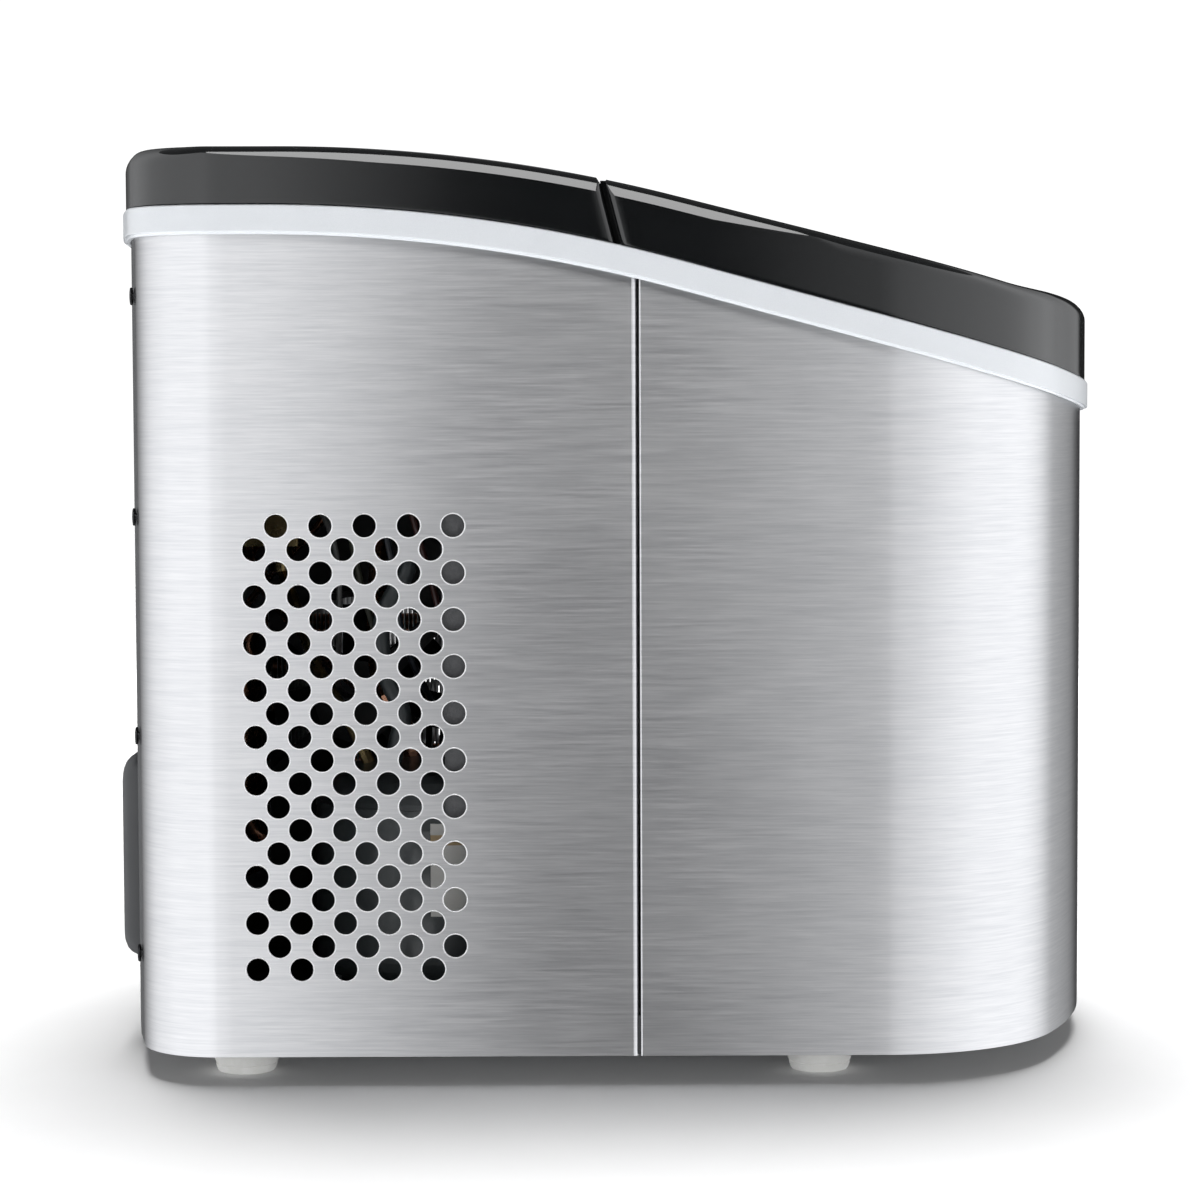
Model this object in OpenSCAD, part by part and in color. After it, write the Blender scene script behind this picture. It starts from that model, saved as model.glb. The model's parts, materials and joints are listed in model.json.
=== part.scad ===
// Countertop bullet-ice maker. Millimetres, +Z up, front towards -Y.
// The origin lies on the worktop, under the middle of the overall length and width.

/* [Body] */
// Width over the steel panels
body_w = 290; // [286:1:292]
// Distance from the origin to the middle of the bowed front panel
front_reach = 195.2; // [193:0.2:197]
// Distance from the origin to the middle of the bowed back panel
back_reach = 194; // [191:0.5:195]
// Height of the panels' lower edge above the worktop
panel_z = 10.7; // [9:0.1:12]
// Where the front panel meets the side panels, along Y
seam_y = -10.7; // [-16:0.1:-6]

/* [Top] */
// Height of the flat part of the top, above the worktop
top_z = 354.8; // [352:0.1:357]
// Height of the flat part of the trim ring's upper edge
trim_z = 332.9; // [331:0.1:334]
// Height of the trim ring's outer band
trim_h = 11.1; // [9:0.1:13]
// How far the trim ring stands proud of the steel
trim_proud = 3; // [2:0.1:4]

/* [Vents] */
// Diameter of a vent hole
vent_d = 8.8; // [7:0.1:9.2]
// Distance between vent holes in a row
vent_pitch = 16.65; // [16:0.05:17]
// Rows of vent holes
vent_rows = 20; // [8:2:20]
// Vent holes in a row
vent_columns = 5; // [3:1:5]

/* [Ice system] */
// Inside radius of the tilting water tray
tray_r = 36; // [35:0.5:36]
// Length of an evaporator finger below its manifold
finger_len = 38; // [30:1:38]
// Height of the ice basket
basket_h = 96; // [80:1:96]

/* [Hidden] */
$fn = 48;
far = 400;                    // longer than any cut has to reach
half_w = body_w / 2;
sheet = 0.8;                  // steel panel thickness
wall = 2.5;                   // moulded plastic wall thickness

// Plan outline: bowed front and back, joined to the straight sides by round corners
bow_front_r = 240;
bow_back_r = 560;
corner_front_r = 75;
corner_back_r = 32;
front_centre_y = bow_front_r - front_reach;
back_centre_y = back_reach - bow_back_r;
front_a = asin((half_w - corner_front_r) / (bow_front_r - corner_front_r));
back_a = asin((half_w - corner_back_r) / (bow_back_r - corner_back_r));
corner_front_y = front_centre_y - (bow_front_r - corner_front_r) * cos(front_a);
corner_back_y = back_centre_y + (bow_back_r - corner_back_r) * cos(back_a);

// Side curves: level at the back, then a round crest, then a straight slope to the front
crest_r = 600;
top_bend_y = 49.4;            // where the level and the sloping line of the top would meet
top_slope = 14.3;
trim_bend_y = 51.7;
trim_slope = 15.2;
skirt = 1.8;                  // how far the black covers stand proud of the steel
shelf_t = 2.5;                // thickness of the trim ring's shelf

// The joint between the top cover and the lid, square to the slope
split_y = 4.1;
split_z = 342.6;
split_tilt = 14.4;
split_gap = 2.2;

// Lid hinge
hinge_y = 6;
hinge_z = 341.5;
knuckle_r = 2.2;
pin_r = 1.2;
pin_play = 0.05;
hinge_x = 122;                // middle of each knuckle
knuckle_w = 11.4;

// Control strip on the top cover
strip_y = 16.5;
strip_z = top_z - crest_r + sqrt(pow(crest_r, 2) - pow(crest_start(top_bend_y, top_slope) - strip_y, 2));
strip_tilt = asin((crest_start(top_bend_y, top_slope) - strip_y) / crest_r);
strip_half = 112;
strip_t = 1.4;
button_r = 5;
power_x = -84;
timer_x = 62;
select_x = 84;
lamp_x = [-66, -58, -50, -42, 42];

// Tub
tub_half = 112;
tub_front = -168;
tub_back = 50;
tank_back = -22;
tank_z = 58;
chamber_z = 150;
tub_corner = 47;

// Tilting tray, its shovel and the evaporator above it
tray_y = 8;
tray_z = 278;
tray_t = 2.2;
tray_half = 66;
trunnion_r = 4;
shovel_r = 42;                // from the tray's axis to the shovel's hinge
shovel_rod_r = 1.25;
shovel_len = 28;
manifold_z = 290;
finger_r = 4;
row_y = 12;                   // half the distance between the two rows of fingers

// Ice basket
basket_half = 100;
basket_front = -162;
basket_back = -46;
basket_z = 128;
basket_top = basket_z + basket_h;

// Pump
pump_x = -80;
pump_y = -52;

// Drain
drain_y = -90;
drain_z = 72;

// Compressor
comp_x = -72;
comp_y = 66;
comp_r = 52;

// Fan and condenser
fan_y = 111;
fan_z = 128;
fan_r = 42;

// Feet
foot_x = 116;
foot_front_y = -80.6;
foot_back_y = 142;

// Rear vent cowl
cowl_reach = 198.2;           // the rearmost plane of the whole object
cowl_half = 62;
cowl_z0 = 34.5;
cowl_z1 = 117;

// ---------- outlines and curves ----------

function arc(cx, cy, r, a0, a1, n) =
    [for (i = [0:n]) let (a = a0 + (a1 - a0) * i / n) [cx + r * cos(a), cy + r * sin(a)]];
function inner(v) = [for (i = [1:len(v) - 2]) v[i]];
function reversed(v) = [for (i = [len(v) - 1:-1:0]) v[i]];

// The body's plan outline, grown outwards by o
function outline(o) = concat(
    arc(0, front_centre_y, bow_front_r + o, 270 - front_a, 270 + front_a, 14),
    inner(arc(half_w - corner_front_r, corner_front_y, corner_front_r + o, front_a - 90, 0, 12)),
    [[half_w + o, corner_front_y]],
    [[half_w + o, corner_back_y]],
    inner(arc(half_w - corner_back_r, corner_back_y, corner_back_r + o, 0, 90 - back_a, 8)),
    arc(0, back_centre_y, bow_back_r + o, 90 - back_a, 90 + back_a, 10),
    inner(arc(corner_back_r - half_w, corner_back_y, corner_back_r + o, 90 + back_a, 180, 8)),
    [[-half_w - o, corner_back_y]],
    [[-half_w - o, corner_front_y]],
    inner(arc(corner_front_r - half_w, corner_front_y, corner_front_r + o, 180, 270 - front_a, 12)));

// A rectangle from -hw to hw and y0 to y1 with round front and back corners
function round_rect(hw, y0, y1, rf, rb) = concat(
    arc(hw - rf, y0 + rf, rf, -90, 0, 6), arc(hw - rb, y1 - rb, rb, 0, 90, 5),
    arc(rb - hw, y1 - rb, rb, 90, 180, 5), arc(rf - hw, y0 + rf, rf, 180, 270, 6));

function crest_start(bend_y, slope) = bend_y + crest_r * tan(slope / 2);

// Points of a side curve as [y, z], from behind the body to in front of it
function side_curve(z, bend_y, slope) =
    let (y0 = crest_start(bend_y, slope),
         bend = [for (i = [0:10]) let (t = slope * i / 10)
                 [y0 - crest_r * sin(t), z - crest_r * (1 - cos(t))]],
         last = bend[10])
    concat([[far, z]], bend, [[-far, last[1] - (last[0] + far) * tan(slope)]]);

function top_curve(dz) = side_curve(top_z + dz, top_bend_y, top_slope);
function trim_curve(dz) = side_curve(trim_z + dz, trim_bend_y, trim_slope);
// Height of the trim ring's upper edge at y, on its straight slope
function trim_at(y) = trim_z - (trim_bend_y - y) * tan(trim_slope);

// Turns a drawing of [y, z] points into a bar along X
module along_x(length = 2 * far) {
    rotate([90, 0, 90]) linear_extrude(height = length, center = true) children();
}

module between(lower, upper) {
    along_x() polygon(concat(upper, reversed(lower)));
}

module prism(points, z0 = 0, z1 = far) {
    translate([0, 0, z0]) linear_extrude(height = z1 - z0) polygon(points);
}

module ring(outer_o, inner_o, z0 = 0, z1 = far) {
    translate([0, 0, z0]) linear_extrude(height = z1 - z0) difference() {
        polygon(outline(outer_o));
        polygon(outline(inner_o));
    }
}

module block(x0, x1, y0, y1, z0, z1) {
    translate([x0, y0, z0]) cube([x1 - x0, y1 - y0, z1 - z0]);
}

// A round bar along +X from x0 to x1
module bar_x(r, x0, x1, y, z, fn = 48) {
    translate([x0, y, z]) rotate([0, 90, 0]) cylinder(r = r, h = x1 - x0, $fn = fn);
}

module bar_y(r, y0, y1, x, z, fn = 48) {
    translate([x, y1, z]) rotate([90, 0, 0]) cylinder(r = r, h = y1 - y0, $fn = fn);
}

module post(r, x, y, z0, z1, fn = 48) {
    translate([x, y, z0]) cylinder(r = r, h = z1 - z0, $fn = fn);
}

module both_sides() {
    children();
    mirror([1, 0, 0]) children();
}

// Space in front of (-1) or behind (+1) the split between lid and top cover, moved along Y by dy
module split_side(way, dy) {
    translate([0, split_y, split_z]) rotate([-split_tilt, 0, 0])
        translate([-far / 2, way < 0 ? dy - far : dy, -far / 2]) cube([far, far, far]);
}

// ---------- tubes ----------

function unit(v) = v / norm(v);
// Catmull-Rom curve through hand-placed points, n steps between each two
function smooth(p, n) = concat([for (i = [0:len(p) - 2], k = [0:n - 1])
    let (t = k / n, a = p[max(i - 1, 0)], b = p[i], c = p[i + 1], d = p[min(i + 2, len(p) - 1)])
    0.5 * (2 * b + (c - a) * t + (2 * a - 5 * b + 4 * c - d) * t * t + (3 * b - a - 3 * c + d) * t * t * t)],
    [p[len(p) - 1]]);

// A tube of radius r along a path. side is a direction that no stretch of the path runs along.
module tube(path, r, side, sides = 8) {
    last = len(path) - 1;
    rings = [for (i = [0:last])
        let (t = unit(path[min(i + 1, last)] - path[max(i - 1, 0)]), u = unit(cross(t, side)), v = cross(t, u))
        for (k = [0:sides - 1]) path[i] + r * (cos(360 * k / sides) * u + sin(360 * k / sides) * v)];
    walls = [for (i = [0:last - 1], k = [0:sides - 1]) let (m = (k + 1) % sides)
        [i * sides + k, (i + 1) * sides + k, (i + 1) * sides + m, i * sides + m]];
    polyhedron(points = rings, faces = concat(walls,
        [[for (k = [0:sides - 1]) k]], [[for (k = [sides - 1:-1:0]) last * sides + k]]));
}

// ---------- base and feet ----------

module base_tray() {
    boss_r = 6;
    color("dimgray") difference() {
        union() {
            prism(outline(-1), panel_z + 0.2, panel_z + 2.8);
            ring(-1, -3.8, panel_z + 0.2, base_rim_z);
            for (x = [-foot_x, foot_x], y = [foot_front_y, foot_back_y]) post(boss_r, x, y, panel_z + 1, 22);
            for (p = compressor_feet()) post(boss_r, p[0], p[1], panel_z + 1, 18);
        }
        for (x = [-foot_x, foot_x], y = [foot_front_y, foot_back_y]) post(2, x, y, 0, 30);
        for (p = compressor_feet()) post(2.5, p[0], p[1], panel_z + 3, 30);
    }
}

module foot(x, y) {
    color("whitesmoke") translate([x, y, 0]) difference() {
        union() {
            cylinder(r1 = 11.2, r2 = 12.4, h = 3.4);
            translate([0, 0, 3.4]) cylinder(r1 = 12.4, r2 = 12.9, h = panel_z - 3.2);
        }
        translate([0, 0, -1]) cylinder(r = 5, h = 5);
        cylinder(r = 2.3, h = far);
    }
}

module foot_screws() {
    color("silver") for (x = [-foot_x, foot_x], y = [foot_front_y, foot_back_y]) {
        translate([x, y, 1.6]) cylinder(r = 4, h = 2.4);
        translate([x, y, 3.9]) cylinder(r = 1.95, h = 15);
    }
}

// ---------- steel shell ----------

seam_gap = 0.6;               // half the gap at the seam
flange = 8;                   // how far the seam flanges turn inwards
base_rim_z = 26;              // top of the base tray's rim
back_edge_x = 118;            // where the side panels end on the back
lap = 14;                     // how far they run on behind the back panel
back_screw_x = 110;
back_screw_z = [45, 130, 215, 300];

module panel_height() {
    between([[far, panel_z], [-far, panel_z]], trim_curve(-shelf_t - 0.2));
}

// Inner flanges stop short of the base tray's rim and of the upper frame
module flange_height() {
    between([[far, base_rim_z + 0.6], [-far, base_rim_z + 0.6]], trim_curve(-shelf_t - 3.4));
}

module seam_flange(y0) {
    block(half_w - flange, half_w - sheet / 2, y0, y0 + sheet, 0, far);
}

module front_panel() {
    color("silver") difference() {
        union() {
            intersection() {
                ring(0, -sheet);
                block(-far, far, -far, seam_y - seam_gap, -1, far);
                panel_height();
            }
            intersection() {
                both_sides() seam_flange(seam_y - seam_gap - sheet);
                flange_height();
            }
        }
        bar_x(15, half_w - 5, half_w + 5, drain_y, drain_z);
    }
}

// Vent holes: odd rows start half a pitch further back than even ones
vent_row_h = 8.86;
vent_y0 = 59.3;                // middle of the hole nearest the front
vent_z0 = 44.2;
module vent_holes() {
    for (row = [0:vent_rows - 1], i = [0:vent_columns - 1])
        bar_x(vent_d / 2, half_w - 3, half_w + 3, vent_y0 + vent_pitch * (i + (row % 2 == 0 ? 0.5 : 0)),
              vent_z0 + vent_row_h * row, 24);
}

module side_panel_right() {
    color("silver") difference() {
        union() {
            intersection() {
                ring(0, -sheet);
                block(back_edge_x, far, seam_y + seam_gap, far, -1, far);
                panel_height();
            }
            intersection() {
                union() {
                    seam_flange(seam_y + seam_gap);
                    // joggle and lap behind the back panel
                    intersection() {
                        ring(0, -2);
                        block(back_edge_x, back_edge_x + 2, 0, far, -1, far);
                    }
                    intersection() {
                        ring(-1.2, -2);
                        block(back_edge_x - lap, back_edge_x + 1, 0, far, -1, far);
                    }
                }
                flange_height();
            }
        }
        vent_holes();
        for (z = back_screw_z) bar_y(1.5, 0, far, back_screw_x, z, 24);
    }
}

module side_panel_left() {
    mirror([1, 0, 0]) side_panel_right();
}

gland_x = 82;
gland_z = 62;
gland_r = 3.6;                // bore that the mains lead passes through

module back_panel() {
    color("dimgray") difference() {
        intersection() {
            ring(0, -1);
            block(0.4 - back_edge_x, back_edge_x - 0.4, 0, far, -1, far);
            panel_height();
        }
        for (x = [-back_screw_x, back_screw_x], z = back_screw_z) bar_y(1.7, 0, far, x, z, 24);
        bar_y(8, 0, far, gland_x, gland_z);
        for (i = [0:5]) block(-48, 48, 0, far, 46 + 11 * i, 51 + 11 * i);
    }
}

function back_at(x) = back_centre_y + sqrt(pow(bow_back_r, 2) - x * x);

module back_panel_screws() {
    color("silver") for (x = [-back_screw_x, back_screw_x], z = back_screw_z) {
        bar_y(3.4, back_at(x) + 0.6, back_at(x) + 1.3, x, z, 24);
        bar_y(1.45, back_at(x) - 7, back_at(x) + 0.7, x, z, 24);
    }
}

// A louvred cowl over the air outlet, hollow towards the panel
module rear_vent_cowl() {
    front = back_at(0) + 0.3;
    edge = back_at(cowl_half) + 0.3;
    color("dimgray") difference() {
        along_x(2 * cowl_half) polygon([[edge, cowl_z0], [edge + 5, cowl_z0], [cowl_reach - 2, cowl_z0 + 3],
            [cowl_reach, cowl_z0 + 8], [cowl_reach, cowl_z1 - 10], [cowl_reach - 2, cowl_z1 - 5],
            [edge + 4.5, cowl_z1 - 2], [edge + 4, cowl_z1], [edge, cowl_z1]]);
        prism(outline(0.3), 0, far);
        block(3 - cowl_half, cowl_half - 3, 150, cowl_reach - 2.5, cowl_z0 + 4, cowl_z1 - 8);
        for (i = [0:5]) block(-50, 50, front, far, 47 + 11 * i, 52 + 11 * i);
    }
}

module cable_gland() {
    y = back_at(gland_x);
    color("black") difference() {
        union() {
            bar_y(7.9, y - 4, y + 2, gland_x, gland_z);
            difference() {
                bar_y(10.5, y - 8, y + 4, gland_x, gland_z);
                prism(outline(0.05), 0, far);
            }
            bar_y(6.5, y + 3.9, y + 9, gland_x, gland_z);
        }
        bar_y(gland_r, 0, far, gland_x, gland_z);
    }
}

// ---------- trim, frame and top cover ----------

module trim_ring() {
    color("white") union() {
        intersection() {
            ring(trim_proud, 0.15);
            between(trim_curve(-trim_h), trim_curve(0));
        }
        intersection() {
            ring(trim_proud - 0.1, -6);
            between(trim_curve(-shelf_t), trim_curve(0));
        }
    }
}

module upper_frame() {
    color("gainsboro") difference() {
        intersection() {
            prism(outline(-sheet - 0.4));
            between(trim_curve(-shelf_t - 3), trim_curve(-shelf_t - 0.1));
        }
        prism(round_rect(tub_half, tub_front, tub_back, tub_corner, 12));
        block(-40, 40, 100, 116, 0, far);
    }
}

module cover_shell() {
    difference() {
        intersection() {
            prism(outline(skirt));
            between(trim_curve(0.3), top_curve(0));
        }
        intersection() {
            prism(outline(skirt - wall));
            between(trim_curve(-50), top_curve(-wall));
        }
    }
}

module top_cover() {
    ear_w = 5;
    color("#18191b") difference() {
        union() {
            intersection() {
                cover_shell();
                split_side(1, 0);
            }
            // front wall, raised over the tub's mouth
            intersection() {
                prism(outline(skirt - 1));
                between(trim_curve(6), top_curve(-1));
                split_side(1, 0);
                split_side(-1, wall);
            }
            // ears that hold the hinge pins
            both_sides() for (x = [hinge_x - knuckle_w / 2 - 1 - ear_w, hinge_x + knuckle_w / 2 + 1])
                intersection() {
                    block(x, x + ear_w, 2, 11, 334, 342.8);
                    split_side(1, 0.4);
                    between(trim_curve(0), top_curve(-0.5));
                }
        }
        // pocket for each knuckle and its arm
        both_sides() block(hinge_x - knuckle_w / 2 - 0.8, hinge_x + knuckle_w / 2 + 0.8, -8, 9.5, 333, far);
        both_sides() bar_x(pin_r, hinge_x - 12, hinge_x + 12, hinge_y, hinge_z, 24);
        on_strip() block(-strip_half + 8, strip_half - 8, -7, 7, -10, 10);
    }
}

// ---------- control strip ----------

module on_strip() {
    translate([0, strip_y, strip_z]) rotate([strip_tilt, 0, 0]) children();
}

module control_strip() {
    color("#101113") difference() {
        intersection() {
            block(-strip_half, strip_half, strip_y - 10, strip_y + 10, 300, far);
            between(top_curve(0.05), top_curve(strip_t));
        }
        on_strip() {
            for (x = [power_x, timer_x, select_x]) translate([x, 0, -5]) cylinder(r = button_r + 0.3, h = 10);
            block(-24.2, 24.2, -6.2, 6.2, -5, 5);
            for (x = lamp_x) translate([x, 0, -5]) cylinder(r = 1.6, h = 10, $fn = 24);
        }
    }
}

module display_lens() {
    color("#25303a") on_strip() block(-24, 24, -6, 6, -0.6, strip_t + 0.1);
}

module indicator_lenses() {
    color("palegreen") on_strip() for (x = lamp_x) translate([x, 0, -0.8]) cylinder(r = 1.5, h = 2.5, $fn = 24);
}

module button(x) {
    color("silver") on_strip() translate([x, 0, 0]) {
        translate([0, 0, -2.2]) cylinder(r = button_r, h = 5);
        translate([0, 0, -3.2]) cylinder(r = button_r + 1.4, h = 1.5);
    }
}

module control_board() {
    color("darkgreen") on_strip() {
        block(-98, 98, -9, 9, -9.6, -8);
        for (x = [power_x, timer_x, select_x]) block(x - 3, x + 3, -3, 3, -8.1, -4.4);
        block(-22, 22, -5.5, 5.5, -8.1, -1);
        for (x = lamp_x) translate([x, 0, -8.1]) cylinder(r = 1.5, h = 6.6, $fn = 24);
    }
}

module power_board() {
    base = trim_z - shelf_t;
    color("olivedrab") {
        block(-66, 66, 118, 172, base + 5, base + 6.6);
        for (x = [-60, 60], y = [123, 167]) post(3, x, y, base - 0.1, base + 5.1, 24);
        block(-56, -24, 126, 154, base + 6.5, base + 18);
        for (i = [0:2]) block(-14 + 20 * i, 2 + 20 * i, 128, 146, base + 6.5, base + 17);
        block(-50, 50, 158, 165, base + 6.5, base + 13);
    }
}

// ---------- lid ----------

module window_area(grow, z_curve_low, z_curve_high) {
    intersection() {
        prism(round_rect(92 + grow, -150 - grow, -28 + grow, 12 + grow, 12 + grow));
        between(top_curve(z_curve_low), top_curve(z_curve_high));
    }
}

module lid_frame() {
    rib_t = 2.4;
    color("#18191b") difference() {
        union() {
            intersection() {
                cover_shell();
                split_side(-1, -split_gap);
            }
            // wall round the tub's mouth, which carries the gasket
            intersection() {
                difference() {
                    prism(round_rect(118, -175, -12, 52, 8));
                    prism(round_rect(118 - rib_t, -175 + rib_t, -12 - rib_t, 52 - rib_t, 8 - rib_t));
                }
                between(trim_curve(-1), top_curve(-1));
            }
            // short return along the split
            intersection() {
                prism(outline(skirt - 1));
                between(top_curve(-9), top_curve(-1));
                split_side(-1, -split_gap);
                split_side(1, -split_gap - wall);
            }
            // hinge arms and knuckles
            both_sides() {
                block(hinge_x - knuckle_w / 2, hinge_x + knuckle_w / 2, -3, hinge_y, 339, hinge_z);
                bar_x(knuckle_r, hinge_x - knuckle_w / 2, hinge_x + knuckle_w / 2, hinge_y, hinge_z, 32);
            }
        }
        window_area(0, -10, 10);
        window_area(4.2, -1.4, 10);
        both_sides() bar_x(pin_r + pin_play, hinge_x - 12, hinge_x + 12, hinge_y, hinge_z, 24);
        // finger notch in the middle of the front edge
        intersection() {
            block(-24, 24, -far, -185, 0, far);
            between(trim_curve(-5), trim_curve(7));
        }
    }
}

module lid_window() {
    color("#3a4148") union() {
        window_area(-0.2, -wall, -0.1);
        window_area(4, -1.3, -0.1);
    }
}

module lid_gasket() {
    color("lightgray") intersection() {
        difference() {
            prism(round_rect(119, -176, -11, 53, 9));
            prism(round_rect(114.6, -171.6, -15.4, 48.6, 4.6));
        }
        between(trim_curve(-2.3), trim_curve(-1.05));
    }
}

module hinge_pins() {
    color("silver") both_sides() bar_x(pin_r, hinge_x - 11, hinge_x + 11, hinge_y, hinge_z, 24);
}

// ---------- tub, insulation and basket ----------

module tub_space(grow) {
    prism(round_rect(tub_half + grow, tub_front - grow, tub_back + grow, tub_corner + grow, 12 + grow),
          chamber_z - grow);
    prism(round_rect(tub_half + grow, tub_front - grow, tank_back + grow, tub_corner + grow, 12 + grow),
          tank_z - grow, chamber_z + 1);
}

module tub() {
    color("white") difference() {
        union() {
            intersection() {
                tub_space(wall);
                between(trim_curve(-far), trim_curve(-shelf_t - 3.2));
            }
            intersection() {
                prism(round_rect(tub_half + 9, tub_front - 9, tub_back + 9, tub_corner + 9, 18));
                between(trim_curve(-shelf_t - 5.8), trim_curve(-shelf_t - 3.2));
            }
        }
        tub_space(0);
        both_sides() bar_x(6.5, tub_half - 5, tub_half + 5, tray_y, tray_z);
        bar_x(9.2, tub_half - 5, tub_half + 5, drain_y, drain_z);
        for (p = evaporator_ports) bar_y(4.4, tub_back - 5, tub_back + 5, p[0], p[1], 24);
    }
    // rails that the basket's rims rest on
    color("white") both_sides() block(tub_half - 7, tub_half + 1, -128, -60, basket_top - 8, basket_top - 2);
}

module insulation() {
    color("ivory") difference() {
        intersection() {
            prism(outline(-4.2), 14);
            between(trim_curve(-far), trim_curve(-shelf_t - 6));
            union() {
                block(-far, far, -far, tank_back + 10, 0, far);
                block(-far, far, -far, 64, chamber_z - 12, far);
                // cheeks that reach down beside the compressor
                both_sides() block(128, far, -far, 63, 98, far);
            }
        }
        both_sides() block(half_w - flange - 0.5, far, seam_y - 2.5, seam_y + 2.5, 0, far);
        tub_space(wall + 0.3);
        bar_x(26, tub_half, far, tray_y, tray_z);
        block(tub_half + 2, far, tray_y - 12, 70, tray_z - 12, tray_z + 12);
        mirror([1, 0, 0]) bar_x(8, tub_half, tub_half + 8, tray_y, tray_z);
        bar_x(15, tub_half, far, drain_y, drain_z);
        for (p = evaporator_ports) bar_y(6.5, 0, far, p[0], p[1], 24);
        for (x = [-foot_x, foot_x]) post(7, x, foot_front_y, 0, 24);
    }
}

module ice_basket() {
    t = 2;
    r = 32;
    color("gainsboro") difference() {
        union() {
            difference() {
                prism(round_rect(basket_half, basket_front, basket_back, r, 14), basket_z, basket_top);
                prism(round_rect(basket_half - t, basket_front + t, basket_back - t, r - t, 12), basket_z + t);
            }
            both_sides() block(basket_half - 1, basket_half + 9, -126, -62, basket_top - 2, basket_top);
        }
        // drain slots in the floor, then in the front, back and sides
        for (i = [-3:3], k = [0:2]) block(24 * i - 8, 24 * i + 8, -136 + 30 * k, -132 + 30 * k, 0, basket_z + 9);
        for (i = [-3:3]) block(17 * i - 3, 17 * i + 3, -far, 0, basket_z + 12, basket_top - 26);
        both_sides() for (k = [0:4])
            block(basket_half - 5, basket_half + 5, -126 + 15 * k, -120 + 15 * k, basket_z + 12, basket_top - 26);
    }
}

module ice_sensors() {
    color("#303438") both_sides() bar_x(4, tub_half - 2, tub_half, -100, basket_top + 8, 32);
}

// ---------- evaporator, tray and shovel ----------

inlet_x = 90;
outlet_x = 101;
inlet_z = 297;
outlet_z = 309;
evaporator_ports = [[inlet_x, inlet_z], [outlet_x, outlet_z]];

module finger(x, y) {
    post(finger_r, x, y, manifold_z - finger_len + 3, manifold_z + 1, 24);
    translate([x, y, manifold_z - finger_len]) cylinder(r1 = 2.4, r2 = finger_r, h = 3.05, $fn = 24);
}

module evaporator() {
    h = 12;
    color("peru") {
        for (y = [tray_y - row_y, tray_y + row_y]) block(-60, 60, y - 5, y + 5, manifold_z, manifold_z + h);
        block(-60, -50, tray_y - row_y, tray_y + row_y, manifold_z, manifold_z + h);
        for (i = [-2:2]) finger(24 * i, tray_y - row_y);
        for (i = [-2:1]) finger(24 * i + 12, tray_y + row_y);
        // inlet from the front bar, outlet from the back bar by way of a bridge over it
        bar_x(3, 59, inlet_x + 3, -6, inlet_z, 24);
        bar_y(3, -6, 57, inlet_x, inlet_z, 24);
        block(46, 56, -5, tray_y + row_y, manifold_z + h - 0.1, manifold_z + h + 8);
        bar_x(3, 50, outlet_x + 3, -1.5, outlet_z, 24);
        bar_y(3, -1.5, 57, outlet_x, outlet_z, 24);
    }
}

module evaporator_bracket() {
    z = manifold_z + 12;
    color("lightsteelblue") {
        block(-tub_half, 44, -8.5, 0, z, z + 1.6);
        block(-tub_half, -tub_half + 1.6, -8.5, 0, z - 18, z + 1.6);
    }
}

module tray_section(r0, r1) {
    difference() {
        circle(r = r1, $fn = 64);
        if (r0 > 0) circle(r = r0, $fn = 64);
        translate([-far, 0]) square([2 * far, far]);
    }
}

module water_tray() {
    r1 = tray_r + tray_t;
    color("white") {
        difference() {
            union() {
                translate([0, tray_y, tray_z]) along_x(2 * tray_half + 2) tray_section(tray_r, r1);
                both_sides() translate([tray_half + wall / 2, tray_y, tray_z]) along_x(wall) union() {
                    tray_section(0, r1);
                    circle(r = 9);
                }
                both_sides() bar_x(trunnion_r, tray_half, 116, tray_y, tray_z, 32);
                // ears for the shovel's rod
                both_sides() {
                    block(56.5, 60.5, tray_y - shovel_r, tray_y - tray_r - 0.5, tray_z - 3.4, tray_z);
                    bar_x(3.4, 56.5, 60.5, tray_y - shovel_r, tray_z, 24);
                }
            }
            bar_x(shovel_rod_r, -far, far, tray_y - shovel_r, tray_z, 24);
        }
        // drive tongue that enters the motor's hub
        bar_x(3, 115.9, 121, tray_y, tray_z, 24);
    }
}

module tray_bushes() {
    color("khaki") both_sides() difference() {
        union() {
            bar_x(6.5, tub_half - 1.5, tub_half + wall + 1, tray_y, tray_z);
            bar_x(8.5, tub_half - 3, tub_half, tray_y, tray_z);
        }
        bar_x(trunnion_r + 0.05, 0, far, tray_y, tray_z, 32);
    }
}

module tray_motor() {
    color("lightslategray") difference() {
        union() {
            bar_x(21, tub_half + wall + 0.1, 132, tray_y, tray_z);
            bar_x(7, 131.9, 135, tray_y, tray_z);
            for (way = [-1, 1]) bar_x(5, tub_half + wall + 0.1, tub_half + wall + 2, tray_y + way * 20, tray_z);
            block(117, 128, tray_y + 18, tray_y + 30, tray_z - 6, tray_z + 6);
        }
        bar_x(6.8, 110, 116.6, tray_y, tray_z);
        bar_x(3.06, 110, 122, tray_y, tray_z, 24);
    }
}

module ice_shovel() {
    y = tray_y - shovel_r;
    color("whitesmoke") difference() {
        union() {
            bar_x(3, -55, 55, y, tray_z, 24);
            block(-55, 55, y - 1, y + 1, tray_z - shovel_len, tray_z);
            block(-55, 55, y - 3.5, y + 1, tray_z - shovel_len, tray_z - shovel_len + 2);
        }
        bar_x(shovel_rod_r + 0.05, -far, far, y, tray_z, 24);
        for (i = [-4:4]) block(11 * i - 2, 11 * i + 2, y - 10, y + 10, tray_z - shovel_len + 6, tray_z - 9);
    }
}

module shovel_rod() {
    color("silver") bar_x(shovel_rod_r, -62, 62, tray_y - shovel_r, tray_z, 24);
}

// ---------- pump and hose ----------

pump_z = tank_z + 3;
pump_shaft_r = 1.2;

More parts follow.
